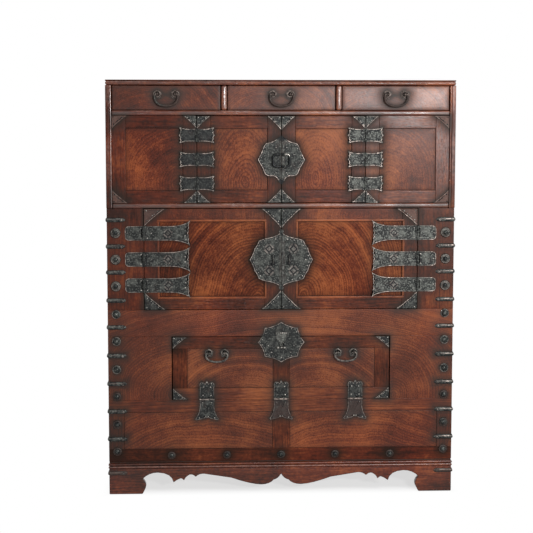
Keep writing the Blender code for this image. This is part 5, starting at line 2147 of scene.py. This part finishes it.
class CHEST_OT_middle_hinges(Operator):
    """Strap hinges"""

    bl_idname = "chest.middle_hinges"
    bl_label = "Middle hinges"

    def execute(self, context):
        make_middle_hinges()
        return {"FINISHED"}


class CHEST_OT_drop_hinges(Operator):
    """Hinges of the drop front"""

    bl_idname = "chest.drop_hinges"
    bl_label = "Drop hinges"

    def execute(self, context):
        make_drop_hinges()
        return {"FINISHED"}


class CHEST_OT_lock_plates(Operator):
    """Three lock plates and their pulls"""

    bl_idname = "chest.lock_plates"
    bl_label = "Lock plates"

    def execute(self, context):
        make_lock_plates()
        return {"FINISHED"}


class CHEST_OT_corner_plates(Operator):
    """Three-cornered plates"""

    bl_idname = "chest.corner_plates"
    bl_label = "Corner plates"

    def execute(self, context):
        make_corner_plates()
        return {"FINISHED"}


class CHEST_OT_corner_straps(Operator):
    """Straps that wrap the case's edges"""

    bl_idname = "chest.corner_straps"
    bl_label = "Corner straps"

    def execute(self, context):
        make_corner_straps()
        return {"FINISHED"}


class CHEST_OT_studs(Operator):
    """Washers and domed nails"""

    bl_idname = "chest.studs"
    bl_label = "Studs"

    def execute(self, context):
        make_studs()
        return {"FINISHED"}


class CHEST_OT_bails(Operator):
    """Bail handles, eyes and rosettes"""

    bl_idname = "chest.bails"
    bl_label = "Bails"

    def execute(self, context):
        make_bails()
        return {"FINISHED"}


class CHEST_OT_hasp(Operator):
    """Hasp, knuckles and staple"""

    bl_idname = "chest.hasp"
    bl_label = "Hasp"

    def execute(self, context):
        make_hasp()
        return {"FINISHED"}


class CHEST_OT_rivets(Operator):
    """Rivet heads on every plate"""

    bl_idname = "chest.rivets"
    bl_label = "Rivets"

    def execute(self, context):
        make_rivets()
        return {"FINISHED"}


class CHEST_OT_grime(Operator):
    """Darkened wood beside the iron, and painted shade along the outer edges of the fronts"""

    bl_idname = "chest.grime"
    bl_label = "Grime"

    def execute(self, context):
        age_wood()
        return {"FINISHED"}


OPERATORS = (
    CHEST_OT_stage, CHEST_OT_finishes, CHEST_OT_case, CHEST_OT_base,
    CHEST_OT_fronts, CHEST_OT_drawers, CHEST_OT_upper_doors, CHEST_OT_middle_doors,
    CHEST_OT_drop_front, CHEST_OT_upper_hinges, CHEST_OT_middle_hinges, CHEST_OT_drop_hinges,
    CHEST_OT_lock_plates, CHEST_OT_corner_plates, CHEST_OT_corner_straps, CHEST_OT_studs,
    CHEST_OT_bails, CHEST_OT_hasp, CHEST_OT_rivets, CHEST_OT_grime,
)
GROUPS = (("chest_wood", ChestWood), ("chest_iron", ChestIron), ("chest_trim", ChestTrim),
          ("chest_stage", ChestStage))


class CHEST_PT_pieces(Panel):
    """Settings of the chest and a button for each group of pieces."""

    bl_label = "Bandaji Chest"
    bl_space_type = "VIEW_3D"
    bl_region_type = "UI"
    bl_category = "Chest"

    def draw(self, context):
        for name, group in GROUPS:
            box = self.layout.box()
            settings = getattr(context.scene, name)
            for key in group.__annotations__:
                box.prop(settings, key)
        for made in OPERATORS:
            self.layout.operator(made.bl_idname)


def register():
    for _, group in GROUPS:
        bpy.utils.register_class(group)
    for made in (*OPERATORS, CHEST_PT_pieces):
        bpy.utils.register_class(made)
    for name, group in GROUPS:
        setattr(bpy.types.Scene, name, PointerProperty(type=group))


def unregister():
    for name, _ in GROUPS:
        delattr(bpy.types.Scene, name)
    for made in (CHEST_PT_pieces, *reversed(OPERATORS)):
        bpy.utils.unregister_class(made)
    for _, group in reversed(GROUPS):
        bpy.utils.unregister_class(group)


def main():
    register()
    for made in OPERATORS:
        group, name = made.bl_idname.split(".")
        getattr(getattr(bpy.ops, group), name)()
    boxes = {"cad": CAD_BOX, "visual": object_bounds()}
    {name: [list(corner) for corner in box] for name, box in boxes.items()}


if __name__ == "__main__":
    main()
